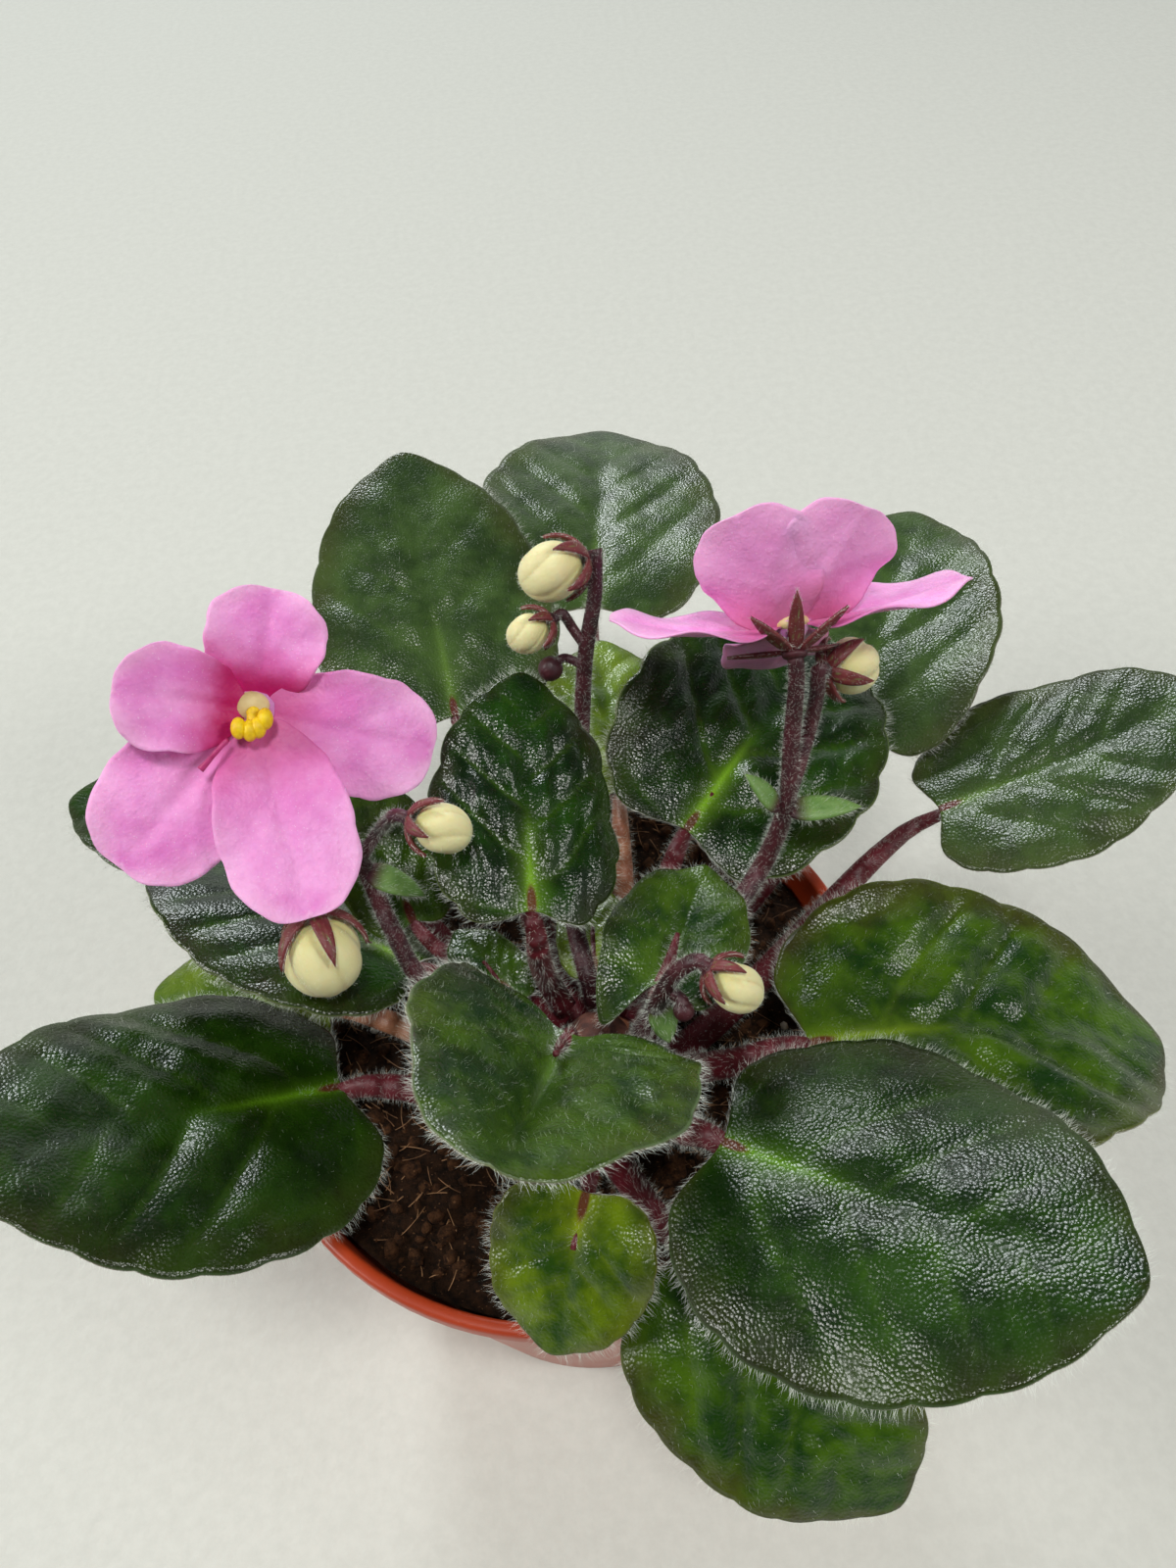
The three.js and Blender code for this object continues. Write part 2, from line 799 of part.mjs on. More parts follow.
// The last points of a stem or branch, in line with what it bears, and what grows round them: a calyx, sepals
// round a bud, or a tiny closed bud.
function stalkEnd({ flower, bud, knob, path }) {
  if (flower) {
    const { face } = flowerAxes(FLOWERS[flower]);
    const tip = calyxMiddle(FLOWERS[flower]).addScaledVector(face, -0.5);
    return { end: [tip.clone().addScaledVector(face, -2), tip], round: calyx(FLOWERS[flower]) };
  }
  if (bud) {
    const toward = vector(BUDS[bud].point).normalize();
    const tip = budFoot(BUDS[bud]);
    return { end: [tip.clone().addScaledVector(toward, -1.5), tip], round: budSepals(BUDS[bud]) };
  }
  return { end: [], round: [new THREE.SphereGeometry(knob, 8, 5).translate(...path.at(-1))] };
}

function flowerStalk(stalk) {
  const foot = crownPoint(...stalk.root, GAP + 0.9);
  const tip = stalkEnd(stalk);
  const stem = [foot, ...stalk.stem.map(vector), ...tip.end];
  const pieces = [smoothRod(stem, (t) => stalk.radius * (1 - 0.25 * t), 6, stem.length + 4), ...tip.round];
  for (const branch of stalk.branches) {
    const { end, round } = stalkEnd(branch);
    pieces.push(smoothRod([...branch.path.map(vector), ...end], () => branch.radius, 5, 4), ...round);
  }
  for (const bract of stalk.bracts) {
    const [length, width] = bract.size;
    pieces.push(placed(sepal(length, width, 20), bladeAxes(...bract.turn), vector(bract.at)));
  }
  return geometryOf(joined(pieces));
}

// ---------------------------------------------------------------- pot, soil and crown

function wallRadius(z) {
  return POT.baseRadius + ((POT.rimRadius - 0.6 - POT.baseRadius) * z) / POT.height;
}

function pot() {
  const { height, rimRadius, baseRadius, wall, lip, lipHeight, floor, segments } = POT;
  const underLip = height - lipHeight;
  const profile = [
    [0, 0],
    [baseRadius - 0.8, 0],
    [baseRadius, 0.8],
    [wallRadius(underLip), underLip],
    [rimRadius, underLip + 0.5],
    [rimRadius, height - 0.6],
    [rimRadius - 0.6, height],
    [rimRadius - lip + 0.5, height],
    [rimRadius - lip, height - 0.5],
    [wallRadius(underLip) - wall, underLip],
    [wallRadius(floor) - wall, floor],
    [0, floor],
  ].map(([x, y]) => new THREE.Vector2(x, y));
  let body = solidOf(new THREE.LatheGeometry(profile, segments).rotateX(Math.PI / 2));
  for (let k = 0; k < POT.holes; k += 1) {
    const angle = (2 * Math.PI * (k + 0.5)) / POT.holes;
    const drill = new THREE.CylinderGeometry(POT.holeRadius, POT.holeRadius, 3 * floor, 10);
    drill.rotateX(Math.PI / 2).translate(POT.holeRing * Math.cos(angle), POT.holeRing * Math.sin(angle), 0);
    body = body.subtract(solidOf(drill));
  }
  return geometryOf(body);
}

// Crumbly relief of the soil's surface.
function soilHeight(x, y) {
  const lumps = Math.sin(0.42 * x + 1.3) * Math.cos(0.37 * y - 0.6) + 0.6 * Math.sin(0.9 * x - 0.7 * y);
  const rise = 0.9 * (Math.hypot(x, y) / POT.rimRadius) ** 2;
  return SOIL.level + SOIL.relief * 0.5 * lumps + rise;
}

function soil() {
  const { rings, segments } = SOIL;
  const bottom = POT.floor + GAP;
  const clear = POT.wall + GAP + 0.2;
  const outer = wallRadius(SOIL.level) - clear;
  const foot = wallRadius(bottom) - clear;
  const points = [0, 0, soilHeight(0, 0)];
  const triangles = [];
  for (let ring = 1; ring <= rings + 1; ring += 1) {
    const radius = ring > rings ? foot : (outer * ring) / rings;
    for (let k = 0; k < segments; k += 1) {
      const angle = (2 * Math.PI * k) / segments;
      const x = radius * Math.cos(angle);
      const y = radius * Math.sin(angle);
      points.push(x, y, ring > rings ? bottom : soilHeight(x, y));
    }
  }
  const centreBelow = points.length / 3;
  points.push(0, 0, bottom);
  for (let k = 0; k < segments; k += 1) {
    const next = (k + 1) % segments;
    triangles.push(0, 1 + k, 1 + next);
    for (let ring = 0; ring < rings; ring += 1) {
      const a = 1 + ring * segments + k;
      const b = 1 + ring * segments + next;
      triangles.push(a, a + segments, b, b, a + segments, b + segments);
    }
    triangles.push(centreBelow, 1 + rings * segments + next, 1 + rings * segments + k);
  }
  const depth = SOIL.level + 5 - CROWN.bottom + GAP;
  const hole = new THREE.CylinderGeometry(CROWN.radius + GAP, CROWN.radius + GAP, depth, CROWN.segments);
  hole.rotateX(Math.PI / 2);
  hole.translate(CROWN.x, CROWN.y, CROWN.bottom - GAP + depth / 2);
  return geometryOf(solidOf(closedGeometry(points, triangles)).subtract(solidOf(hole)));
}

function crown() {
  const { radius, topRadius, bottom, shoulder, top, segments } = CROWN;
  const middle = (bottom + shoulder) / 2;
  const profile = [
    [0, bottom],
    [radius - 1, bottom],
    [radius, bottom + 2],
    [radius, middle],
    [(radius * 2 + topRadius) / 3, middle + 8],
    [topRadius, shoulder],
    [topRadius * 0.6, top - 0.8],
    [0, top],
  ].map(([x, y]) => new THREE.Vector2(x, y));
  const stem = new THREE.LatheGeometry(profile, segments).rotateX(Math.PI / 2);
  return stem.translate(CROWN.x, CROWN.y, 0);
}

// ---------------------------------------------------------------- the plant put together

const plant = new THREE.Group();

function add(name, geometry, look) {
  const mesh = new THREE.Mesh(geometry, look);
  mesh.name = name;
  plant.add(mesh);
}

add("pot", pot(), LOOK.pot);
add("soil", soil(), LOOK.soil);
add("crown", crown(), LOOK.crown);

for (const leaf of LEAVES) {
  add(`leaf_${leaf.name}_blade`, leafBlade(leaf), leaf.pale ? LOOK.paleBlade : LOOK.blade);
  add(`leaf_${leaf.name}_stalk`, leafStalk(leaf), LOOK.leafStalk);
}

for (const [name, stalk] of Object.entries(FLOWER_STALKS)) {
  add(`flower_stalk_${name}`, flowerStalk(stalk), LOOK.flowerStalk);
}
for (const [name, bud] of Object.entries(BUDS)) {
  add(`bud_${name}`, budGeometry(bud), LOOK.bud);
}
for (const [name, flower] of Object.entries(FLOWERS)) {
  add(`flower_${name}_petals`, corolla(flower), LOOK.petal);
  add(`flower_${name}_stamens`, stamens(flower), LOOK.anther);
  add(`flower_${name}_pistil`, pistil(flower), LOOK.pistil);
}

export default plant;
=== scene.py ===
"""A potted african violet: hairy heart-shaped leaves, two pink flowers and six buds in a small plastic pot.

Lengths in this file are millimetres until a mesh is finished, when it is scaled to metres. +Z is up and -Y is
the front of the plant. Bearings and headings are degrees anticlockwise from +X seen from above.
"""

import math

import bmesh
import bpy
import numpy as np
from mathutils import Matrix, Vector


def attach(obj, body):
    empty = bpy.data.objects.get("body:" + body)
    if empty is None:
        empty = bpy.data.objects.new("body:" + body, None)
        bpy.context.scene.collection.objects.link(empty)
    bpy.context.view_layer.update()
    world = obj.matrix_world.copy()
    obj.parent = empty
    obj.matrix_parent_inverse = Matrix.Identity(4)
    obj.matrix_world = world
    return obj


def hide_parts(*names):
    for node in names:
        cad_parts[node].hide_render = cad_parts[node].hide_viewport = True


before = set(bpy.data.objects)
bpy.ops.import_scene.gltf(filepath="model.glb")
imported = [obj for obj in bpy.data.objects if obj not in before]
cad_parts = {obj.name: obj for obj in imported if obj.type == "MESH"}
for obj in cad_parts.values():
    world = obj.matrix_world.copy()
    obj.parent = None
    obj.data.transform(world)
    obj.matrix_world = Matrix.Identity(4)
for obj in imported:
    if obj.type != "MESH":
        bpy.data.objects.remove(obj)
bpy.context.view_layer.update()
rng = np.random.default_rng(11)

MM = 0.001
TAU = 2 * math.pi

# ---------------------------------------------------------------- sizes, the same as in the solids

GAP = 0.3
POT = {"height": 76, "base": 33, "rim": 45, "wall": 1.2, "lip": 1.8, "lip_height": 3.5, "floor": 1.8}
HOLES = {"count": 5, "radius": 3, "ring": 21}
SOIL_LEVEL = 69.8
CROWN = {"x": 5, "y": -12, "radius": 6.4, "top_radius": 4.4, "bottom": 62, "shoulder": 88, "top": 91}
STALK_TIP = 1.6

# base, (heading, pitch, roll), (length, width), bend, cup, stalk root (bearing, height, radius), finish, more
LEAVES = {
    "left_front": ((-30, -12, 83), (202, 31, 5), (48, 43), -8, -14, (200, 77, 2.1), "dark", {}),
    "left_inner": ((-18, -1, 94), (148, 12, 37), (40, 33), 14, -33, (164, 82.5, 1.9), "deep", {"quilt": 0.6}),
    "left_old": ((-33, 3, 78.5), (165, 6, 4), (28, 24), 21, 2, (166, 73.5, 2), "pale", {}),
    "left_back": ((-35, 30, 82), (164, 17, 2), (41, 30), 23, 10, (142, 78, 1.9), "dark", {}),
    "back_left": ((-12, 45, 91), (97, 17, 5), (51, 41), 2, -7, (106, 77, 2.1), "grey_painted_sheen", {"quilt": 0.5}),
    "back": ((12, 67, 90), (82, 9, 5), (53, 45), 24, 15, (84, 73, 2.1), "grey_painted_sheen", {"quilt": 0.5}),
    "centre_back": ((-1, -3, 107), (87, 17, 20), (32, 26), 1, -23, (128, 89, 1.6), "deep",
                    {"scallops": 8, "notch_depth": 0.07, "ridges": 0.5, "blister": 1.0, "blister_size": 3.8}),
    "back_under": ((12, 23, 95), (89, 10, 5), (29, 23), 15, -5, (66, 78.5, 1.7), "pale", {}),
    "right_back_upper": ((20.4, 13.2, 97.5), (49, 9, 17), (45.5, 39.3), 28, 21, (52, 83.5, 1.8), "deep",
                         {"scallops": 9, "notch_depth": 0.05, "ridges": 0.5, "blister": 0.85,
                          "blister_size": 4.2}),
    "back_right": ((50, 34, 88), (67, 17, -4), (48, 38), 22, 30, (46, 75.5, 2.1), "grey_painted_sheen", {"quilt": 0.55}),
    "right_back": ((59, 19, 87), (4, 20, -4), (39, 32), -10, -4, (12, 74, 2.1), "grey_painted_sheen", {"quilt": 0.6}),
    "right_upper": ((31.7, -17.2, 91), (2, 4, -10), (47.4, 44.3), 30, 26, (-16, 80, 2), "bright",
                    {"quilt": 1.4, "ridges": 1.3}),
    "right_front": ((18.5, -30, 95), (326, 16, -3), (45, 43), -7, -17, (-46, 77.5, 2.1), "dark",
                    {"quilt": 0.5, "ridges": 0.6}),
    "front_right_low": ((13, -39, 83), (299, -8, 28), (37, 32), 38, 6, (-92, 73.5, 2), "bright",
                        {"quilt": 1.2}),
    "front_old": ((2, -33, 92), (245, -34, 0), (20, 21), 14, 3, (-104, 81, 1.4), "yellow", {"quilt": 0.3}),
    "front_young": ((2, -18, 103.5), (255, 47, -15), (34, 32.5), 5, 38, (-130, 85.5, 1.3), "young",
                    {"lobe": 0.33, "fan": 1.6, "quilt": 0.7, "fold": 4.2, "droop": 2.4, "wave": 1.0,
                     "down": 1.3}),
    "young_right": ((14, -10.8, 99.9), (66, 5, -1), (19.5, 18.5), 24, 12, (20, 89.5, 1.2), "young",
                    {"small": True, "lobe": 0.24, "notch": 0.36, "fan": 0.3, "fold": 2.2, "trail": 5,
                     "wave": 0.9}),
    "young_left": ((-5, -7.2, 92.4), (124, 14, 2), (13, 10), 18, 2, (172, 86, 1), "young", {"small": True}),
    "young_back": ((5.5, -2.5, 88.5), (85, 11, 7), (14.6, 10.4), 19, 5, (88, 84, 1), "pale", {"small": True}),
    "young_left_back": ((-18, 5, 95), (108, 35, 10), (22, 16), 20, 5, (136, 86, 1.3), "young",
                        {"small": True}),
}

# centre, the way it points, radius, half its length
BUDS = {
    "hanging": ((-27.2, -5, 105.5), (0.05, -0.6, -0.8), 4.8, 5.1),
    "side": ((-10, 3, 118), (0.9, -0.3, -0.25), 3, 3.5),
    "tall": ((6, 38, 125), (-0.95, -0.25, -0.1), 3.9, 4.4),
    "tall_small": ((2, 32, 120), (-0.9, -0.3, -0.25), 2.6, 2.9),
    "behind": ((44.3, 25.4, 113.6), (0.77, 0.45, -0.45), 3.8, 4.2),
    "curled": ((22.6, -14.8, 103.6), (0.75, -0.45, -0.5), 2.9, 3.4),
}

# petals as bearing, lift, roll, (length, width), bend, cup, and sepals as bearing, lift
FLOWERS = {
    "left": {
        "centre": (-32, 19, 125), "face": (288, 47),
        "petals": [
            (60, 20, 0, (14.6, 15), 20, 20), (152, 28, 0, (16, 13.4), 15, 22), (210, 10, 0, (24, 18), 15, 8),
            (265, 16, 0, (26, 17), 2, 8), (327, 8, 0, (22, 16), 20, 8),
        ],
        "sepals": [(105, 20), (180, 20), (237, 15), (298, 15), (10, 20)],
        "stamens": (-0.6, -1.8), "style": (-8, -4.6),
    },
    "right": {
        "centre": (36, 26, 122), "face": (90, 38),
        "petals": [
            (52, 55, 25, (17.5, 16), 8, 14), (137, 49, -30, (17, 16), 8, 14),
            (-5, -2, -18, (23, 16), -24, 10), (185, 3, 18, (23, 16), -14, 10), (272, -10, 0, (20, 15), 0, 8),
        ],
        "sepals": [(90, 50), (46, 28), (134, 28), (325, 4), (215, 4)],
        "stamens": (0, -1.6), "style": (6, -5),
    },
}

FLOWER_STALKS = {
    "left": {
        "root": (196, 88.5), "radius": 1.3, "flower": "left",
        "stem": [(-4.5, -12.4, 90.5), (-10.3, -9.8, 93.5), (-16.2, -5.7, 97), (-20, 1.4, 102),
                 (-23, 8.6, 108.4), (-28, 16, 113), (-31.6, 20.4, 118)],
        "branches": [
            {"path": [(-22.4, 7.6, 107.6), (-19, 6.8, 113.5), (-16.6, 5.4, 118)], "radius": 0.8,
             "bud": "side"},
            {"path": [(-22.6, 7.4, 107.4), (-24.5, 4, 110.6)], "radius": 0.9, "bud": "hanging"},
        ],
        "bracts": [((-22, 6, 107), (345, -20, 0), (8, 3.2))],
    },
    "back": {
        "root": (88, 88), "radius": 1.3, "bud": "tall",
        "stem": [(4.6, -3.2, 91.5), (3.8, 2, 95.5), (5, 10, 101), (7.3, 22, 108), (9.3, 30, 116.5),
                 (11.6, 36, 122), (12.2, 39, 125.4)],
        "branches": [
            {"path": [(9.5, 31, 117.3), (7.4, 33, 120.8)], "radius": 0.7, "bud": "tall_small"},
            {"path": [(9, 29, 115.8), (6.5, 29.5, 117.2), (4.5, 29, 116)], "radius": 0.6, "knob": 1.7},
        ],
        "bracts": [],
    },
    "right": {
        "root": (30, 86.5), "radius": 1.4, "flower": "right",
        "stem": [(14, -4.4, 89.4), (25, 0.6, 96.2), (32.4, 7.8, 106), (34.6, 15.5, 112)],
        "branches": [
            {"path": [(32.5, 8.4, 106.6), (36, 14.6, 110), (38.6, 20, 114.4)], "radius": 1, "bud": "behind"},
        ],
        "bracts": [((31.8, 8, 107), (150, 60, 0), (6.6, 2.6)), ((32.8, 8.2, 106.4), (352, 14, 10), (9, 3))],
    },
    "front": {
        "root": (-25, 86.5), "radius": 1.3, "bud": "curled",
        "stem": [(10.8, -13.8, 93), (12.2, -14.2, 97.5), (13.2, -14.2, 101.6), (15.6, -12.8, 105.4)],
        "branches": [
            {"path": [(14, -13.6, 102.8), (15.8, -15, 102.8), (16, -16, 101.6)], "radius": 0.8, "knob": 1.3},
        ],
        "bracts": [((13.2, -14, 101), (285, -50, 0), (6, 3))],
    },
}

THROAT = {"radius": 2.6, "depth": 3, "foot": 1}

# ---------------------------------------------------------------- what the scene adds to those sizes

# what sets small leaves, petals and sepals apart from a grown leaf, see Blade
SMALL_LEAF = {"wave": 0.4, "groove": 0.35, "quilt": 0.35, "thick": 0.95, "rim": 0.3, "scallops": 8,
              "veins": 5.5}
PETAL = {"lobe": 0, "notch": 0.3, "belly": -0.16, "point": -0.02, "scallops": 1.5, "notch_depth": 0.05,
         "mean_depth": 0.02, "ruffle": 0.012, "waves": 2.5, "wave": 0.8, "groove": 0.4, "quilt": 0.3,
         "ridges": 0.3, "blister": 0, "thick": 0.6, "rim": 0.25, "veins": 4}
SEPAL = {"lobe": 0, "notch": 0.3, "belly": 0.3, "point": 0.08, "scallops": 0, "notch_depth": 0,
         "mean_depth": 0, "wave": 0, "groove": 0.1, "quilt": 0, "blister": 0, "thick": 0.75, "rim": 0.45}
PETAL_HEIGHTS = (-0.5, 0.3, 0, 0.2, -0.1)
UPPER_PETALS = 2
FLOWER_SEPAL = {"length": 8.2, "width": 2}
SEPALS_PER_BUD = 5
DOME = (2.2, 1.8, 1.2)
ANTHER_LOBE = (0.95, 1.35, 1.2)
ANTHER_SPREAD, ANTHER_PAIR = 1.1, 0.55
PEBBLE = 0.42
TAN_STALKS = ("left_old", "back_under")
POT_ROUNDING, POT_SIDES, SHARP_ANGLE = 0.7, 96, 50
SOIL_BOTTOM, SOIL_RINGS, SOIL_SIDES = 2.1, 44, 120
CROWN_STEP, CROWN_SIDES = 0.8, 48
FIBRES, CRUMBS, PERLITE_GRAINS = 800, 900, 16
FLOOR_REACH_M = 4

# rows and columns of a sheet, steps and sides of a tube, or sides and rings of a ball
GRIDS = {
    "leaf": (80, 44), "small_leaf": (44, 24), "petal": (48, 32), "sepal": (14, 8), "leaf_stalk": (24, 16),
    "flower_stalk": (40, 14), "flower_rod": (16, 12), "fibre": (6, 5), "bud": (60, 36), "knob": (20, 12),
    "anther": (20, 14),
}

# hairs on each square millimetre, or on each millimetre of a rim, their length and their width
# a leaf's rim has hairs so many times longer, and a bud's count goes with its radius squared
LEAF_HAIRS = {"down": 0.5, "small_down": 2, "length": 0.8, "small_length": 0.55, "width": 0.02}
LEAF_RIM_HAIRS = {"count": 7, "longer": 1.8, "width": 0.032}
LEAF_STALK_HAIRS = (3.5, 1.1, 0.024)
FLOWER_STALK_HAIRS = (9, 0.8, 0.024)
SEPAL_HAIRS = {"count": 4, "rim_count": 8, "length": 0.5, "bract_length": 0.9, "width": 0.026,
               "rim_width": 0.028}
BUD_HAIRS = {"count": 22, "length": 0.5, "width": 0.035}
HAIR_SIDES = 3

# ---------------------------------------------------------------- camera and light

CAMERA = {"place": (7.7, -80.6, 230.4), "down": 52, "roll": -6.6, "focal_px": 1200, "picture": (1200, 1600)}
SENSOR = 36

# place and target in metres, size, power, colour
LIGHTS = {
    "window": ((-0.3, 1.6, 1.15), (0, 0, 0.1), 0.5, 15, (0.93, 0.98, 1.0)),
    "left_softbox": ((-1.15, -0.05, 0.95), (0, 0, 0.05), 0.5, 11, (1.0, 1.0, 0.97)),
    "right_softbox": ((1.05, -0.4, 0.92), (0, 0, 0.05), 0.4, 6, (1.0, 0.99, 0.96)),
    "ceiling": ((0.05, -0.3, 1.3), (0, 0.05, 0.1), 0.22, 6.5, (1.0, 0.99, 0.96)),
}

# the room is brighter behind the plant and round the horizon: from, to, strength at each
BEHIND = (-0.2, 0.95, 0.05, 0.45)
HORIZON = (0.0, 0.4, 0.5, 0.0)
BEHIND_TILT = -0.7
ROOM_COLOUR = (0.95, 0.98, 0.97, 1)


def placed(name, data):
    """A new object at the origin, in the scene."""
    obj = bpy.data.objects.new(name, data)
    bpy.context.scene.collection.objects.link(obj)
    return obj


def make_camera():
    down, roll = math.radians(CAMERA["down"]), math.radians(CAMERA["roll"])
    right, up = Vector((1, 0, 0)), Vector((0, math.sin(down), math.cos(down)))
    ahead = Vector((0, math.cos(down), -math.sin(down)))
    x = math.cos(roll) * right + math.sin(roll) * up
    y = math.cos(roll) * up - math.sin(roll) * right
    data = bpy.data.cameras.new("camera")
    data.sensor_fit = "AUTO"
    data.sensor_width = SENSOR
    data.lens = SENSOR * CAMERA["focal_px"] / max(CAMERA["picture"])
    data.clip_start, data.clip_end = 0.01, 20
    camera = placed("camera", data)
    turn = Matrix((x, y, -ahead)).transposed().to_4x4()
    camera.matrix_world = Matrix.Translation(Vector(CAMERA["place"]) * MM) @ turn
    bpy.context.scene.camera = camera


def make_light(name, place, target, size, power, colour):
    data = bpy.data.lights.new(name, "AREA")
    data.shape, data.size, data.energy, data.color = "DISK", size, power, colour
    light = placed(name, data)
    light.location = place
    light.rotation_euler = (Vector(target) - Vector(place)).to_track_quat("-Z", "Y").to_euler()


def make_world():
    world = bpy.data.worlds.new("studio")
    world.use_nodes = True
    tree = world.node_tree
    background = tree.nodes["Background"]
    background.inputs["Color"].default_value = ROOM_COLOUR
    way = tree.nodes.new("ShaderNodeTexCoord")
    parts = tree.nodes.new("ShaderNodeSeparateXYZ")

    def ramp(low, high, least, most):
        node = tree.nodes.new("ShaderNodeMapRange")
        node.interpolation_type = "SMOOTHSTEP"
        for socket, value in (("From Min", low), ("From Max", high), ("To Min", least), ("To Max", most)):
            node.inputs[socket].default_value = value
        return node

    behind, horizon = ramp(*BEHIND), ramp(*HORIZON)
    tilted = tree.nodes.new("ShaderNodeMath")
    tilted.operation = "MULTIPLY_ADD"
    tilted.inputs[1].default_value = BEHIND_TILT
    both = tree.nodes.new("ShaderNodeMath")
    tree.links.new(way.outputs["Generated"], parts.inputs[0])
    tree.links.new(parts.outputs["Z"], tilted.inputs[0])
    tree.links.new(parts.outputs["Y"], tilted.inputs[2])
    tree.links.new(tilted.outputs[0], behind.inputs["Value"])
    tree.links.new(parts.outputs["Z"], horizon.inputs["Value"])
    tree.links.new(behind.outputs[0], both.inputs[0])
    tree.links.new(horizon.outputs[0], both.inputs[1])
    tree.links.new(both.outputs[0], background.inputs["Strength"])
    bpy.context.scene.world = world
    bpy.context.scene.view_settings.view_transform = "Standard"


# ---------------------------------------------------------------- shader tools

class Value:
    """A shader socket. Arithmetic on it adds Math nodes."""

    def __init__(self, finish, socket):
        self.finish = finish
        self.socket = socket

    def maths(self, operation, first, second):
        return self.finish.add("ShaderNodeMath", {"operation": operation}, {0: first, 1: second})

    def __add__(self, other):
        return self.maths("ADD", self, other)

    def __radd__(self, other):
        return self.maths("ADD", other, self)

    def __sub__(self, other):
        return self.maths("SUBTRACT", self, other)

    def __rsub__(self, other):
        return self.maths("SUBTRACT", other, self)

    def __mul__(self, other):
        return self.maths("MULTIPLY", self, other)


class Finish:
    """A material with one principled shader, whose constants are set straight on the shader's sockets."""

    def __init__(self, name, **constants):
        self.material = bpy.data.materials.new(name)
        self.material.use_nodes = True
        self.tree = self.material.node_tree
        self.shader = self.tree.nodes["Principled BSDF"]
        for key, value in constants.items():
            self.shader.inputs[key.replace("_", " ").title().replace("Ior", "IOR")].default_value = value

    def add(self, kind, settings, sockets, output=0):
        node = self.tree.nodes.new(kind)
        for key, value in settings.items():
            setattr(node, key, value)
        for key, value in sockets.items():
            self.join(value, node.inputs[key])
        return Value(self, node.outputs[output])

    def join(self, value, socket):
        if isinstance(value, Value):
            self.tree.links.new(value.socket, socket)
        else:
            socket.default_value = value

    def set(self, **sockets):
        for key, value in sockets.items():
            self.join(value, self.shader.inputs[key.replace("_", " ")])

    def place(self):
        return self.add("ShaderNodeTexCoord", {}, {}, "Object")

    def attribute(self, name):
        return self.add("ShaderNodeAttribute", {"attribute_name": name}, {}, "Fac")

    def noise(self, size, detail=2.0, roughness=0.5):
        """Noise between 0 and 1 with features of about this size in millimetres."""
        sockets = {"Vector": self.place(), "Scale": 1 / (size * MM), "Detail": detail,
                   "Roughness": roughness}
        return self.add("ShaderNodeTexNoise", {}, sockets, "Fac")

    def cells(self, size):
        """Distance from the middle of cells of about this size in millimetres."""
        sockets = {"Vector": self.place(), "Scale": 1 / (size * MM)}
        return self.add("ShaderNodeTexVoronoi", {}, sockets, "Distance")

    def step(self, value, low, high):
        sockets = {"Value": value, "From Min": low, "From Max": high}
        return self.add("ShaderNodeMapRange", {"interpolation_type": "SMOOTHSTEP"}, sockets)

    def mix(self, factor, first, second):
        """Two colours mixed, each a socket or a picture colour."""
        first, second = (colour if isinstance(colour, Value) else rgb(*colour) for colour in (first, second))
        return self.add("ShaderNodeMix", {"data_type": "RGBA"}, {0: factor, 6: first, 7: second}, 2)

    def bump(self, height, distance, strength, under=None):
        sockets = {"Height": height, "Distance": distance * MM, "Strength": strength}
        if under:
            sockets["Normal"] = under
        return self.add("ShaderNodeBump", {}, sockets)


def rgb(red, green, blue):
    """A picture colour, 0 to 255, as the linear colour that a shader takes."""
    parts = [c / 255 for c in (red, green, blue)]
    return tuple(c / 12.92 if c <= 0.04045 else ((c + 0.055) / 1.055) ** 2.4 for c in parts) + (1.0,)


# ---------------------------------------------------------------- finishes

LEAF_COLOURS = {
    # dark, light, rib, margin, share of brown at the edge
    "dark": ((6, 32, 0), (31, 62, 4), (104, 156, 24), (92, 118, 78), 0.22),
    # the back leaves' green with painted sheen: paler and greyer than the other greens, standing for the
    # window's reflection on them
    "grey_painted_sheen": ((36, 56, 24), (60, 84, 38), (92, 124, 46), (100, 116, 86), 0.3),
    "deep": ((2, 27, 0), (24, 60, 0), (130, 180, 40), (140, 160, 96), 0.2),
    "bright": ((14, 48, 2), (64, 96, 6), (130, 160, 34), (128, 140, 70), 0.55),
    "young": ((12, 46, 8), (64, 94, 16), (92, 124, 50), (132, 158, 112), 0.2),
    "pale": ((70, 100, 22), (108, 134, 34), (150, 170, 60), (150, 160, 90), 0.3),
    "yellow": ((30, 62, 0), (98, 122, 6), (146, 162, 26), (146, 140, 60), 0.4),
}


def leaf_finish(kind):
    dark, light, rib, margin, brown = LEAF_COLOURS[kind]
    f = Finish("leaf_" + kind, specular_ior_level=0.48)
    along, edge, vein, ridge, under, foot = (f.attribute(n) for n in ATTRIBUTES)
    patches = f.noise(9, 3) * 0.7 + f.noise(2.2, 2) * 0.3
    colour = f.mix(f.step(patches, 0.35, 0.66), dark, light)
    colour = f.mix(vein * 0.1, colour, rib)
    brown_patch = f.step(edge + f.noise(6, 2) * 0.5 - 0.25, 0.62, 1.05) * brown
    colour = f.mix(brown_patch, colour, (70, 56, 26))
    colour = f.mix(ridge * (1 - f.step(along, 0.04, 0.5)) * 0.95, colour, rib)
    colour = f.mix(f.step(edge, 0.985, 0.999) * 0.3, colour, margin)
    colour = f.mix(f.step(foot, 0.25, 0.7) * 0.9, colour, (92, 18, 32))
    pebble = f.cells(PEBBLE)
    backside = f.mix(f.noise(3.5, 3), (104, 122, 84), (128, 84, 84))
    backside = f.mix(vein * 0.5 + ridge * 0.5, backside, (136, 150, 100))
    colour = f.mix(under, colour, backside)
    fine = f.bump(f.noise(0.28, 2), 0.012, 0.7)
    domes = f.bump(1 - pebble, 0.066, 1.0, fine)
    f.set(Base_Color=colour, Roughness=0.2 + f.noise(1.4, 2) * 0.12 + under * 0.25, Normal=domes)
    return f.material


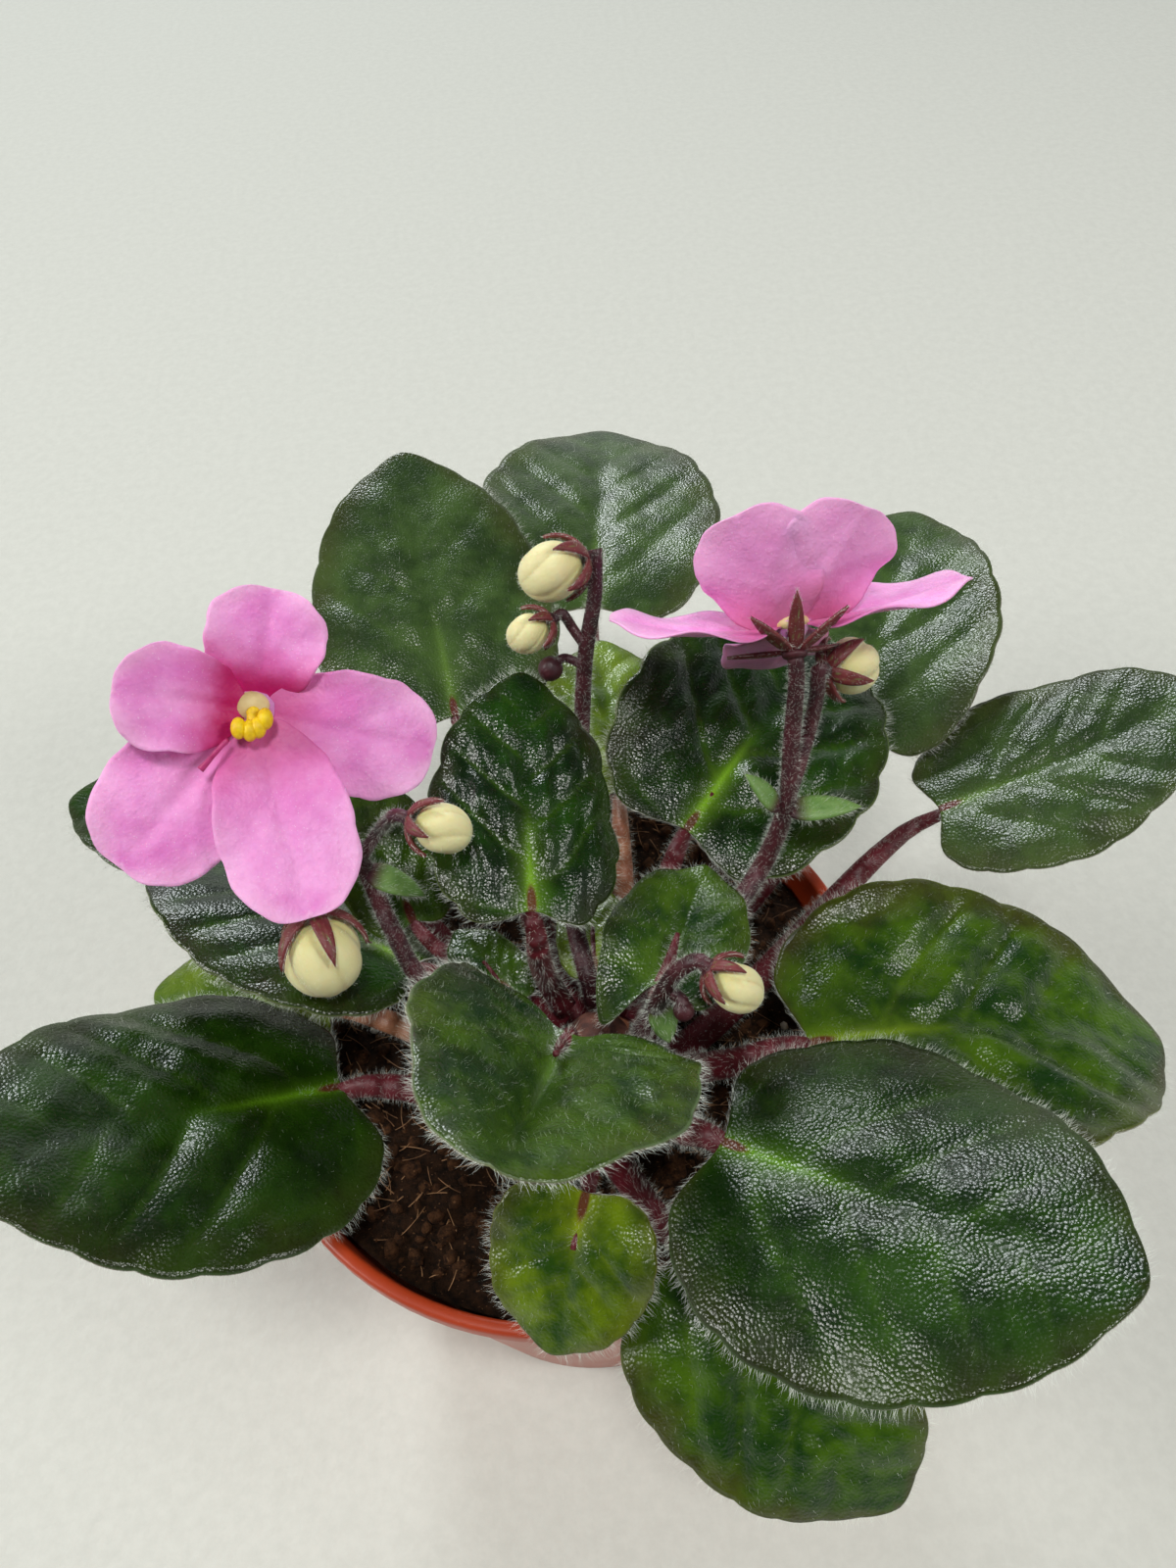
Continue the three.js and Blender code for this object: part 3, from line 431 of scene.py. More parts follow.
def stalk_finish(name, dark, light, streak):
    f = Finish(name, specular_ior_level=0.5, subsurface_weight=0.06, subsurface_scale=0.002)
    streaks = f.noise(4, 3) * 0.7 + f.noise(1.2, 2) * 0.3
    colour = f.mix(f.step(streaks, 0.3, 0.68), dark, light)
    colour = f.mix(f.step(f.noise(5, 2), 0.62, 0.8) * 0.25, colour, streak)
    sepals = f.mix(f.noise(1.2, 3), (92, 26, 30), (140, 56, 58))
    colour = f.mix(f.attribute("foot") * 0.75, colour, sepals)
    bracts = f.mix(f.noise(1.5, 3), (70, 112, 44), (126, 160, 88))
    colour = f.mix(f.attribute("vein") * f.step(f.attribute("along"), 0.1, 0.4), colour, bracts)
    f.set(Base_Color=colour, Roughness=0.38 + f.noise(1.2) * 0.2, Normal=f.bump(f.noise(0.5, 3), 0.15, 0.6))
    return f.material


def petal_finish():
    f = Finish("petal", specular_ior_level=0.35, subsurface_weight=0.1, subsurface_scale=0.001,
               sheen_weight=0.12, sheen_roughness=0.5)
    along, edge, flush, under = (f.attribute(n) for n in ("along", "edge", "vein", "under"))
    colour = f.mix(f.step(f.noise(6, 4), 0.3, 0.7), (230, 129, 206), (245, 164, 226))
    colour = f.mix(f.step(edge * (0.4 + along), 0.5, 1.3) * 0.6, colour, (254, 196, 236))
    rays = f.step(f.noise(0.7, 3), 0.45, 0.7) * f.step(along, 0.0, 0.2) * 0.12
    colour = f.mix(rays, colour, (200, 84, 170))
    colour = f.mix(flush * (1 - f.step(along + f.noise(2.5) * 0.2, 0.16, 0.74)), colour, (206, 52, 138))
    colour = f.mix(flush * (1 - f.step(along + f.noise(1.2) * 0.1, 0.18, 0.42)), colour, (182, 0, 96))
    colour = f.mix(under * 0.45, colour, (236, 164, 214))
    # painted glints: specks beyond the petal's base are made whiter in colour, and glossier, standing for
    # light sparkling off its cells
    painted_glint_grains = (1 - f.step(f.cells(0.34), 0.05, 0.3)) * f.step(f.noise(0.6), 0.4, 0.7)
    glossy_painted_glints = painted_glint_grains * f.step(along, 0.2, 0.5)
    colour = f.mix(glossy_painted_glints * 0.6, colour, (255, 236, 252))
    f.set(Base_Color=colour, Roughness=0.5 - glossy_painted_glints * 0.25,
          Normal=f.bump(f.cells(PEBBLE), 0.06, 0.6, f.bump(f.noise(2.4, 3), 0.5, 0.6)))
    return f.material


def bud_finish():
    f = Finish("bud", subsurface_weight=0.25, subsurface_scale=0.003, sheen_weight=0.2)
    along, seam = f.attribute("along"), f.attribute("vein")
    colour = f.mix(f.noise(2.5, 3), (216, 208, 150), (236, 230, 178))
    colour = f.mix(seam * 0.3, colour, (184, 160, 92))
    colour = f.mix((1 - f.step(along, 0.0, 0.45)) * 0.5, colour, (206, 200, 110))
    f.set(Base_Color=colour, Roughness=0.45 + f.noise(0.8) * 0.15, Normal=f.bump(f.noise(0.4, 2), 0.1, 0.5))
    return f.material


def plain_finish(name, dark, light, size, roughness, bump_size, bump_depth, **constants):
    """A material whose colour wanders between two, with a fine bump."""
    f = Finish(name, **constants)
    f.set(Base_Color=f.mix(f.step(f.noise(size, 4), 0.3, 0.7), dark, light),
          Roughness=roughness + f.noise(size * 0.5) * 0.15,
          Normal=f.bump(f.noise(bump_size, 4), bump_depth, 0.8))
    return f.material


def pot_finish():
    f = Finish("pot_plastic", specular_ior_level=0.5, subsurface_weight=0.05, subsurface_scale=0.002)
    height = f.add("ShaderNodeSeparateXYZ", {}, {"Vector": f.place()}, "Z")
    colour = f.mix(f.noise(14, 3), (158, 50, 16), (178, 64, 26))
    # painted reflection: below the rim the wall is paler and pinker, standing for the white floor reflected
    # in it at a grazing angle
    colour = f.mix((1 - f.step(height, 0.058, 0.073)) * 0.25, colour, (204, 128, 104))
    scuffs = f.step(f.noise(1.1, 4, 0.7), 0.6, 0.75)
    colour = f.mix(scuffs * 0.25, colour, (206, 140, 110))
    f.set(Base_Color=colour, Roughness=0.34 + scuffs * 0.2 + f.noise(8) * 0.08,
          Normal=f.bump(f.noise(0.9, 3), 0.04, 0.5))
    return f.material


def soil_finish(name, dark, light):
    f = Finish(name, specular_ior_level=0.2)
    grain = f.noise(1.2, 6, 0.75)
    colour = f.mix(f.step(grain, 0.3, 0.7), dark, light)
    colour = f.mix(f.step(f.noise(0.5, 3), 0.64, 0.72) * 0.8, colour, (150, 106, 70))
    f.set(Base_Color=colour, Roughness=0.82 + grain * 0.15, Normal=f.bump(grain, 1.6, 1.0))
    return f.material


# ---------------------------------------------------------------- mesh tools

def unit(v):
    v = np.asarray(v, float)
    return v / np.linalg.norm(v, axis=-1, keepdims=True)


def smooth(value, low, high):
    x = np.clip((value - low) / (high - low), 0, 1)
    return x * x * (3 - 2 * x)


def sheet_template(rows, columns):
    """A thin closed sheet: x runs 0 to 1 from base to tip, y -1 to 1 across and z is 1 above, -1 below."""
    bm = bmesh.new()
    bmesh.ops.create_grid(bm, x_segments=rows, y_segments=columns, size=1)
    made = bmesh.ops.extrude_face_region(bm, geom=bm.faces[:], use_keep_orig=True)["geom"]
    lower = [e for e in made if isinstance(e, bmesh.types.BMVert)]
    bmesh.ops.translate(bm, vec=(0, 0, -1), verts=bm.verts[:])
    bmesh.ops.translate(bm, vec=(0, 0, 2), verts=lower)
    for v in bm.verts:
        v.co.x = (v.co.x + 1) / 2
        if v.co.x < 1e-6 or v.co.x > 1 - 1e-6:
            v.co.y = 0
    bmesh.ops.remove_doubles(bm, verts=bm.verts[:], dist=1e-5)
    return finished_template(bm)


def tube_template(steps, sides):
    """A unit tube, with a face across it at both ends and at each step: x runs 0 to 1 along it."""
    bm = bmesh.new()
    ring = bmesh.ops.create_circle(bm, segments=sides, radius=1, cap_ends=True)["verts"]
    bmesh.ops.rotate(bm, verts=ring, cent=(0, 0, 0), matrix=Matrix.Rotation(math.pi / 2, 3, "Y"))
    faces = bm.faces[:]
    for _ in range(steps):
        made = bmesh.ops.extrude_face_region(bm, geom=faces, use_keep_orig=True)["geom"]
        faces = [e for e in made if isinstance(e, bmesh.types.BMFace)]
        ring = [e for e in made if isinstance(e, bmesh.types.BMVert)]
        bmesh.ops.translate(bm, vec=(1 / steps, 0, 0), verts=ring)
    return finished_template(bm)


def ball_template(around, rings):
    bm = bmesh.new()
    bmesh.ops.create_uvsphere(bm, u_segments=around, v_segments=rings, radius=1)
    return finished_template(bm)


def mesh_from(bm, name):
    mesh = bpy.data.meshes.new(name)
    bm.to_mesh(mesh)
    bm.free()
    return mesh


def finished_template(bm):
    bmesh.ops.recalc_face_normals(bm, faces=bm.faces[:])
    return mesh_from(bm, "template")


def corners(mesh):
    points = np.empty(len(mesh.vertices) * 3, np.float32)
    mesh.vertices.foreach_get("co", points)
    return points.reshape(-1, 3).astype(float)


ATTRIBUTES = ("along", "edge", "vein", "rib", "under", "foot")


def shaped(template, points, **values):
    """A copy of the template with its corners moved, and what a finish reads stored on them."""
    mesh = template.copy()
    mesh.vertices.foreach_set("co", np.ascontiguousarray(points, np.float32).ravel())
    for name in ATTRIBUTES:
        value = np.broadcast_to(np.asarray(values.get(name, 0.0), np.float32), len(points))
        mesh.attributes.new(name, "FLOAT", "POINT").data.foreach_set("value", np.ascontiguousarray(value))
    return mesh


def make_piece(name, meshes, material, nodes=()):
    """One object from meshes in millimetres, riding on the plant."""
    bm = bmesh.new()
    for mesh in meshes:
        bm.from_mesh(mesh)
        bpy.data.meshes.remove(mesh)
    bmesh.ops.scale(bm, vec=(MM, MM, MM), verts=bm.verts[:])
    mesh = mesh_from(bm, name)
    mesh.shade_smooth()
    mesh.materials.append(material)
    obj = placed(name, mesh)
    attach(obj, "root")
    if nodes:
        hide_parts(*nodes)
    return obj


def grown(node, meshes, material):
    """The finished piece that stands for a node of the solids."""
    make_piece(node + "_grown", meshes, material, [node])


# ---------------------------------------------------------------- hairs

class Hairs:
    """Gathers hairs, each as a root, a direction, a length and a width, and makes them one piece."""

    def __init__(self):
        self.groups = []

    def add(self, roots, ways, lengths, width):
        count = len(roots)
        lengths = np.broadcast_to(lengths, count)
        self.groups.append((np.asarray(roots), unit(ways), lengths, np.full(count, width)))

    def make(self, name, material, slot):
        roots, ways, lengths, widths = (np.concatenate(part) for part in zip(*self.groups))
        bm = bmesh.new()
        bmesh.ops.create_cone(bm, segments=HAIR_SIDES, cap_ends=True, radius1=1, radius2=0.62, depth=1)
        top = max(bm.faces, key=lambda face: face.calc_center_median().z)
        tip = bmesh.ops.poke(bm, faces=[top])["verts"]
        bmesh.ops.translate(bm, vec=(0, 0, 1), verts=tip)
        bmesh.ops.translate(bm, vec=(0, 0, 0.5), verts=bm.verts[:])
        template = finished_template(bm)
        hair = corners(template)
        faces = [list(p.vertices) for p in template.polygons]
        side = unit(np.cross(ways, rng.normal(size=ways.shape)))
        other = np.cross(ways, side)
        sag = rng.normal(0, 0.12, (len(roots), 1, 1))
        height = hair[None, :, 2:] / 2
        thick = widths[:, None, None] / 2
        bow = 4 * sag * lengths[:, None, None] * height * (1 - height)
        points = (
            roots[:, None]
            + (ways * lengths[:, None])[:, None] * height
            + side[:, None] * (hair[None, :, :1] * thick + bow)
            + other[:, None] * hair[None, :, 1:2] * thick
        )
        count = len(hair)
        starts = range(0, len(roots) * count, count)
        all_faces = [[i + start for i in face] for start in starts for face in faces]
        mesh = bpy.data.meshes.new(name)
        mesh.from_pydata(points.reshape(-1, 3) * MM, [], all_faces)
        mesh.materials.append(material)
        bpy.data.meshes.remove(template)
        obj = placed(name, mesh)
        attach(obj, "root")


# ---------------------------------------------------------------- blades, petals and sepals

def blade_axes(heading, pitch, roll):
    h, p = math.radians(heading), math.radians(pitch)
    along = np.array([math.cos(h) * math.cos(p), math.sin(h) * math.cos(p), math.sin(p)])
    up = np.array([-math.cos(h) * math.sin(p), -math.sin(h) * math.sin(p), math.cos(p)])
    return rolled(along, np.cross(up, along), up, roll)


def rolled(along, across, up, roll):
    c, s = math.cos(math.radians(roll)), math.sin(math.radians(roll))
    return np.array([along, across * c + up * s, up * c - across * s])


class Blade:
    """A bent and cupped sheet: a leaf's blade, a petal or a sepal."""

    lobe, notch, belly, point = 0.12, 0.32, 0.14, 0.03
    scallops, notch_depth = 11, 0.026
    mean_depth = 0.025
    wave, waves, groove, quilt = 0.7, 3, 0.7, 1.0
    thick, rim = 1.3, 0.35
    veins, fan, seed = 4.6, 0.0, 0
    ridges, blister, blister_size = 1.0, 0.12, 4.5
    fold, droop, ruffle, trail = 0.0, 0.0, 0.0, 0.0

    def __init__(self, base, axes, size, bend, cup, **settings):
        self.base, self.axes, (self.length, self.width) = np.array(base, float), axes, size
        self.bend = math.radians(bend) / self.length or 1e-6
        self.cup = math.radians(cup) / (self.width / 2) or 1e-6
        for key, value in settings.items():
            setattr(self, key, value)

    def outline(self, angle):
        round_teeth = np.abs(np.sin(self.scallops * angle + 0.4)) ** 0.7
        ripples = self.ruffle * (np.sin(11 * angle + 2 * self.seed) + 0.5 * np.sin(19 * angle + self.seed))
        tooth = 1 - (self.mean_depth + self.notch_depth * (0.62 - round_teeth) + ripples) * np.sin(angle)
        tip = np.exp(-(((math.pi - angle) / 0.22) ** 2))
        u = self.length * (
            0.5 - self.lobe / 2 - (0.5 + self.lobe / 2) * np.cos(angle) * tooth
            + self.lobe * np.exp(-((angle / self.notch) ** 2)) + self.point * tip
        )
        v = self.width / 2 * np.sin(angle) * (1 + self.belly * np.cos(angle)) * tooth
        return u, v

    def flat(self, t, s):
        rim_u, rim_v = self.outline(math.pi * t)
        rim_u = rim_u - self.trail * np.exp(-(((math.pi * t - 0.6) / 0.35) ** 2)) * (s > 0)
        rib = self.length * (t - 0.1 * np.sin(math.pi * t) + self.point * smooth(t, 0.9, 1))
        reach = np.abs(s)
        return rib + reach * (rim_u - rib), s * rim_v

    def pattern(self, t, s, u, v):
        """How much of the midrib and of a side vein passes here, and how far the sheet puffs between them."""
        a, b = u / self.length, np.abs(v) / (self.width / 2)
        lean = (0.3 * b + 0.14 * b * b) * (0.25 + 0.75 * smooth(a, 0.0, 0.35))
        phase = (a - lean) * self.veins + np.where(v > 0, 0.1, 0.5)
        away = np.abs(phase - np.round(phase))
        inner = smooth(b, 0.02, 0.2) * (1 - smooth(np.abs(s), 0.72, 1))
        fade = np.sin(math.pi * t) ** 0.6
        puff = (np.abs(np.sin(math.pi * phase)) ** 0.75 - 0.55) * inner * fade
        blister = np.abs(np.sin(math.pi * phase) * np.sin(math.pi * v / self.blister_size)) ** 0.7 - 0.4
        puff = self.ridges * puff + self.blister * blister * inner * fade
        vein = np.exp(-((away / 0.055) ** 2)) * smooth(b, 0.0, 0.1)
        vein = vein * (1 - smooth(np.abs(s), 0.6, 0.95)) * fade
        rib = 0.65 * np.exp(-((v / (0.45 + 0.15 * (1 - a))) ** 2)) + 0.35 * np.exp(-((v / 1.9) ** 2))
        return rib, vein, puff

    def height(self, t, s, u, v):
        rib, vein, puff = self.pattern(t, s, u, v)
        ripple = self.wave * np.sin(TAU * self.waves * t + np.where(v > 0, 0, 1.3)) * s * s
        trough = self.groove * np.exp(-((v / (0.06 * self.width)) ** 2))
        around, far = np.arctan2(np.abs(v), u + 1), np.hypot(u, v)
        fingers = self.fan * (np.abs(np.sin(10 * around)) ** 0.8 - 0.6) * smooth(far, 1.5, 6)
        fingers = fingers * (1 - smooth(np.abs(s), 0.75, 1)) * (0.3 + 0.7 * smooth(around, 0.9, 1.5))
        lumps = 0.3 * np.sin(0.45 * u + self.seed) * np.sin(0.5 * v + 2 * self.seed)
        lumps = lumps + 0.15 * np.sin(1.1 * u + 2 * self.seed) * np.sin(1.2 * v + self.seed)
        even = np.sin(math.pi * t)
        trough = trough + self.fold * np.exp(-np.abs(v) / 4) + self.droop * np.abs(s) ** 5
        return (ripple - trough + self.quilt * (puff + lumps * (1 - s * s))) * even + fingers * even

    def raised(self, u, v, height):
        """The point u along and v across the flat sheet, at a height above its bent and cupped middle."""
        side, slope = self.cup * v, self.bend * u
        across = np.sin(side) / self.cup - height * np.sin(side)
        rise = (1 - np.cos(side)) / self.cup + height * np.cos(side)
        x = np.sin(slope) / self.bend + rise * np.sin(slope)
        z = -(1 - np.cos(slope)) / self.bend + rise * np.cos(slope)
        return self.base + np.stack([x, across, z], -1) @ self.axes

    def points(self, t, s, face):
        u, v = self.flat(t, s)
        ends = np.sin(math.pi * t) ** 0.5
        half = (self.rim + (self.thick - self.rim) * (1 - s * s) * ends) / 2
        return self.raised(u, v, self.height(t, s, u, v) + face * half)

    def mesh(self, template, **given):
        """The sheet with what a finish reads on it, or what is given in place of that."""
        t, s, face = corners(template).T
        u, v = self.flat(t, s)
        rib, vein, _ = self.pattern(t, s, u, v)
        values = {
            "along": u / self.length,
            "edge": np.maximum(np.abs(s), smooth(t, 0.93, 1)),
            "vein": vein,
            "rib": rib,
            "under": (face < 0).astype(float),
            "foot": np.exp(-(((u - 1.2) / 2.6) ** 2 + v * v / 0.5)),
        }
        return shaped(template, self.points(t, s, face), **(values | given))

    def frame_at(self, t, s, face=1):
        """Points on a face with the directions out of it, along it and across it."""
        step = 1e-3
        here = self.points(t, s, face)
        along = self.points(t + step, s, face) - here
        across = self.points(t, s + step, face) - here
        normal = unit(np.cross(along, across)) * face
        return here, normal, unit(along), unit(across)


def face_hairs(hairs, blade, per_mm2, length, width, face=1):
    count = int(blade.length * blade.width * 0.78 * per_mm2)
    t = np.arccos(1 - 2 * rng.uniform(0.02, 0.98, count)) / math.pi
    s = np.sign(rng.uniform(-1, 1, count)) * rng.uniform(0, 0.97, count) ** 0.62
    here, normal, along, across = blade.frame_at(t, s, face)
    lean = 0.55 * along + rng.normal(0, 0.3, (count, 1)) * across + rng.normal(0, 0.25, (count, 1)) * along
    hairs.add(here - 0.05 * normal, normal + lean, length * rng.uniform(0.5, 1.25, count), width)


def rim_hairs(hairs, blade, per_mm, length, width):
    count = int(1.35 * (blade.length + blade.width) * 1.25 * per_mm)
    t = rng.uniform(0.01, 0.99, count)
    s = np.where(rng.random(count) < 0.5, -1.0, 1.0)
    inside, edge = blade.points(t, s * 0.96, 0), blade.points(t, s, 0)
    here, normal, along, _ = blade.frame_at(t, s)
    lean = rng.normal(0.1, 0.35, (count, 1)) * along + rng.normal(0.15, 0.4, (count, 1)) * normal
    hairs.add(edge, unit(edge - inside) + lean, length * rng.uniform(0.45, 1.3, count), width)


# ---------------------------------------------------------------- rods

class Rod:
    """A round rod through points, with a radius at each end."""

    def __init__(self, points, radius, tip_radius, power=1.0):
        self.points = np.array(points, float)
        self.radius, self.tip_radius, self.power = radius, tip_radius, power
        spans = np.linalg.norm(np.diff(self.points, axis=0), axis=1)
        self.at = np.concatenate([[0], np.cumsum(spans)])
        self.length = self.at[-1]
        self.at /= self.length
        self.at_even = np.linspace(0, 1, 60)
        way = unit(np.gradient(self.centre(self.at_even), axis=0))
        side = unit(np.cross(way[0], [0.3, 0.5, 0.81]))
        sides = []
        for w in way:
            side = unit(side - w * (side @ w))
            sides.append(side)
        self.ways, self.sides = way, np.array(sides)

    def centre(self, t):
        return np.stack([np.interp(t, self.at, self.points[:, k]) for k in range(3)], -1)

    def radius_at(self, t):
        return self.radius + (self.tip_radius - self.radius) * t ** self.power

    def frame_at(self, t):
        way = unit(np.stack([np.interp(t, self.at_even, self.ways[:, k]) for k in range(3)], -1))
        side = np.stack([np.interp(t, self.at_even, self.sides[:, k]) for k in range(3)], -1)
        side = unit(side - way * np.sum(side * way, -1, keepdims=True))
        return way, side, np.cross(way, side)

    def surface(self, t, angle, share=1.0):
        _, side, other = self.frame_at(t)
        out = side * np.cos(angle)[:, None] + other * np.sin(angle)[:, None]
        uneven = 1 + 0.05 * np.sin(3 * angle + 9 * t) + 0.03 * np.sin(14 * t + angle)
        return self.centre(t) + out * (self.radius_at(t) * uneven * share)[:, None], out

    def mesh(self, template):
        t, y, z = corners(template).T
        angle = np.arctan2(z, y)
        points, _ = self.surface(t, angle, np.hypot(y, z))
        return shaped(template, points, along=t)

    def hairs(self, hairs, per_mm2, length, width):
        count = int(self.length * TAU * self.radius * per_mm2)
        t, angle = rng.uniform(0.02, 0.98, count), rng.uniform(0, TAU, count)
        here, out = self.surface(t, angle)
        way, _, _ = self.frame_at(t)
        lean = rng.normal(0.1, 0.35, (count, 1)) * way
        ways = out + lean + rng.normal(0, 0.2, (count, 3))
        hairs.add(here - 0.06 * out, ways, length * rng.uniform(0.5, 1.3, count), width)


def bezier(a, b, c, d, count=30):
    t = np.linspace(0, 1, count)[:, None]
    return a * (1 - t) ** 3 + 3 * b * t * (1 - t) ** 2 + 3 * c * t * t * (1 - t) + d * t ** 3


def between(a, b, start, end, t):
    """On the way from a, where t is start, to b, where t is end."""
    return (end - t) / (end - start) * a + (t - start) / (end - start) * b


def curve_through(points, per_span=8):
    """Points along the centripetal curve through the given ones."""
    p = np.array(points, float)
    p = np.vstack([2 * p[0] - p[1], p, 2 * p[-1] - p[-2]])
    made = []
    for p0, p1, p2, p3 in zip(p, p[1:], p[2:], p[3:]):
        t0 = 0.0
        t1 = t0 + np.linalg.norm(p1 - p0) ** 0.5
        t2 = t1 + np.linalg.norm(p2 - p1) ** 0.5
        t3 = t2 + np.linalg.norm(p3 - p2) ** 0.5
        t = np.linspace(t1, t2, per_span, endpoint=False)[:, None]
        a1, a2, a3 = between(p0, p1, t0, t1, t), between(p1, p2, t1, t2, t), between(p2, p3, t2, t3, t)
        b1, b2 = between(a1, a2, t0, t2, t), between(a2, a3, t1, t3, t)
        made.append(between(b1, b2, t1, t2, t))
    return np.vstack([*made, p[-2][None]])


# ---------------------------------------------------------------- leaves

def crown_point(bearing, height, outwards):
    rise = max(0, (height - CROWN["bottom"]) / (CROWN["shoulder"] - CROWN["bottom"]))
    radius = CROWN["radius"] + (CROWN["top_radius"] - CROWN["radius"]) * min(1, rise ** 3) + outwards
    angle = math.radians(bearing)
    return np.array([CROWN["x"] + radius * math.cos(angle), CROWN["y"] + radius * math.sin(angle), height])


def leaf_rod(base, turn, root):
    bearing, height, radius = root
    out = np.array([math.cos(math.radians(bearing)), math.sin(math.radians(bearing)), 0])
    base = np.array(base, float)
    steepness = unit(base - crown_point(bearing, height, 0))[2]
    start = crown_point(bearing, height, GAP + 0.2 + 0.7 * radius * max(0, steepness))
    reach = np.linalg.norm(base - start)
    straight = (base - start) / reach
    arrival = unit(straight + blade_axes(*turn)[0])
    end = base - arrival * (STALK_TIP * 0.5 + GAP + 0.1)
    leave = unit(0.6 * out + 0.6 * straight)
    path = bezier(start, start + 0.35 * reach * leave, end - 0.3 * reach * arrival, end, 14)
    along, _, up = blade_axes(*turn)
    tip = min(radius, STALK_TIP)
    under = [base + along * u - up * (0.25 + 0.62 * tip * (1 - u / 9)) for u in (1.2, 4, 7)]
    return Rod(curve_through([*path[:-1], *under], 4), radius, 0.25 * tip, 3)


def make_leaves():
    big, little = sheet_template(*GRIDS["leaf"]), sheet_template(*GRIDS["small_leaf"])
    rod = tube_template(*GRIDS["leaf_stalk"])
    finishes = {kind: leaf_finish(kind) for kind in LEAF_COLOURS}
    red = stalk_finish("leaf_stalk", (70, 10, 20), (98, 18, 32), (112, 34, 40))
    tan = stalk_finish("leaf_stalk_tan", (140, 84, 62), (170, 116, 84), (150, 80, 70))
    white = plain_finish("hair", (214, 222, 210), (236, 240, 232), 4, 0.35, 1, 0.01, specular_ior_level=0.6)
    hairs = {group: Hairs() for group in ("left", "middle", "right", "stalks", "right_stalks")}
    for number, (name, (base, turn, size, bend, cup, root, kind, more)) in enumerate(LEAVES.items()):
        small = more.get("small", False)
        settings = SMALL_LEAF if small else {}
        settings = settings | {key: value for key, value in more.items() if key not in ("small", "down")}
        blade = Blade(base, blade_axes(*turn), size, bend, cup, seed=number, **settings)
        grown(f"leaf_{name}_blade", [blade.mesh(little if small else big)], finishes[kind])
        stalk = leaf_rod(base, turn, root)
        tone = tan if name in TAN_STALKS else red
        grown(f"leaf_{name}_stalk", [stalk.mesh(rod)], tone)
        group = hairs["left" if base[0] < -10 else "right" if base[0] > 16 else "middle"]
        length = LEAF_HAIRS["small_length" if small else "length"]
        down = more.get("down", LEAF_HAIRS["small_down" if small else "down"])
        face_hairs(group, blade, down, length, LEAF_HAIRS["width"])
        rim_hairs(group, blade, LEAF_RIM_HAIRS["count"], length * LEAF_RIM_HAIRS["longer"],
                  LEAF_RIM_HAIRS["width"])
        stalk.hairs(hairs["right_stalks" if base[0] > 2 else "stalks"], *LEAF_STALK_HAIRS)
    for place, group in hairs.items():
        group.make("hairs_leaf_" + place, white, "leaf")
    return white


# ---------------------------------------------------------------- flowers, buds and their stalks

def sepal(base, axes, length, width, bend):
    return Blade(base, axes, (length, width), bend, -10, **SEPAL)


def flower_axes(flower):
    face = blade_axes(*flower["face"], 0)[0]
    x = unit(np.cross([0, 0, 1], face))
    return x, np.cross(face, x), face


def on_face(flower, x, y, height):
    ax, ay, face = flower_axes(flower)
    return np.array(flower["centre"], float) + ax * x + ay * y + face * height


def petal_axes(flower, bearing, lift, roll):
    x, y, face = flower_axes(flower)
    b, l = math.radians(bearing), math.radians(lift)
    out = x * math.cos(b) + y * math.sin(b)
    along = out * math.cos(l) + face * math.sin(l)
    up = face * math.cos(l) - out * math.sin(l)
    return out, rolled(along, np.cross(up, along), up, roll)


def turned_to(way):
    """Rows that turn +Z to a direction."""
    turn = Vector((0, 0, 1)).rotation_difference(Vector(unit(way)))
    return np.array(turn.to_matrix()).T


def ball(template, centre, way, radii, dent=None):
    points = corners(template)
    if dent:
        points = dent(points)
    return shaped(template, (points * radii) @ turned_to(way) + centre)


def calyx_middle(flower):
    return on_face(flower, 0, 0, -THROAT["depth"] - 0.35)


def bud_foot(bud):
    centre, point, _, half = bud
    return np.array(centre) - unit(point) * (half + 0.4 + 1.6 * GAP)


def calyx(flower, templates):
    face = flower_axes(flower)[2]
    parts = [ball(templates["ball"], calyx_middle(flower) - 0.4 * face, face, (1.7, 1.7, 0.85))]
    blades = []
    for bearing, lift in flower["sepals"]:
        out, axes = petal_axes(flower, bearing, lift, 0)
        blades.append(sepal(calyx_middle(flower) + 0.9 * out, axes, **FLOWER_SEPAL, bend=0))
    return parts, blades


def bud_sepals(bud, templates):
    _, point, radius, _ = bud
    way, foot = unit(point), bud_foot(bud)
    hug = radius * 1.03 + GAP + 0.4
    length, width = radius * 1.7, min(2, radius * 0.5)
    blades = []
    for k in range(SEPALS_PER_BUD):
        angle = TAU * k / SEPALS_PER_BUD
        along = np.array([math.cos(angle), math.sin(angle), 0]) @ turned_to(way)
        axes = np.array([along, np.cross(-way, along), -way])
        blades.append(sepal(foot, axes, length, width, math.degrees(length / hug)))
    return [ball(templates["ball"], foot, way, (1.2, 1.2, 0.55))], blades


def stalk_end(part, templates):
    """The last points of a stem or branch, with the solids and blades that grow round them."""
    if "flower" in part:
        flower = FLOWERS[part["flower"]]
        face = flower_axes(flower)[2]
        tip = calyx_middle(flower) - 0.5 * face
        return [tip - 2 * face, tip], *calyx(flower, templates)
    if "bud" in part:
        bud = BUDS[part["bud"]]
        tip = bud_foot(bud)
        return [tip - 1.5 * unit(bud[1]), tip], *bud_sepals(bud, templates)
    knob = ball(templates["ball"], np.array(part["path"][-1], float), (0, 0, 1), (part["knob"],) * 3)
    return [], [knob], []


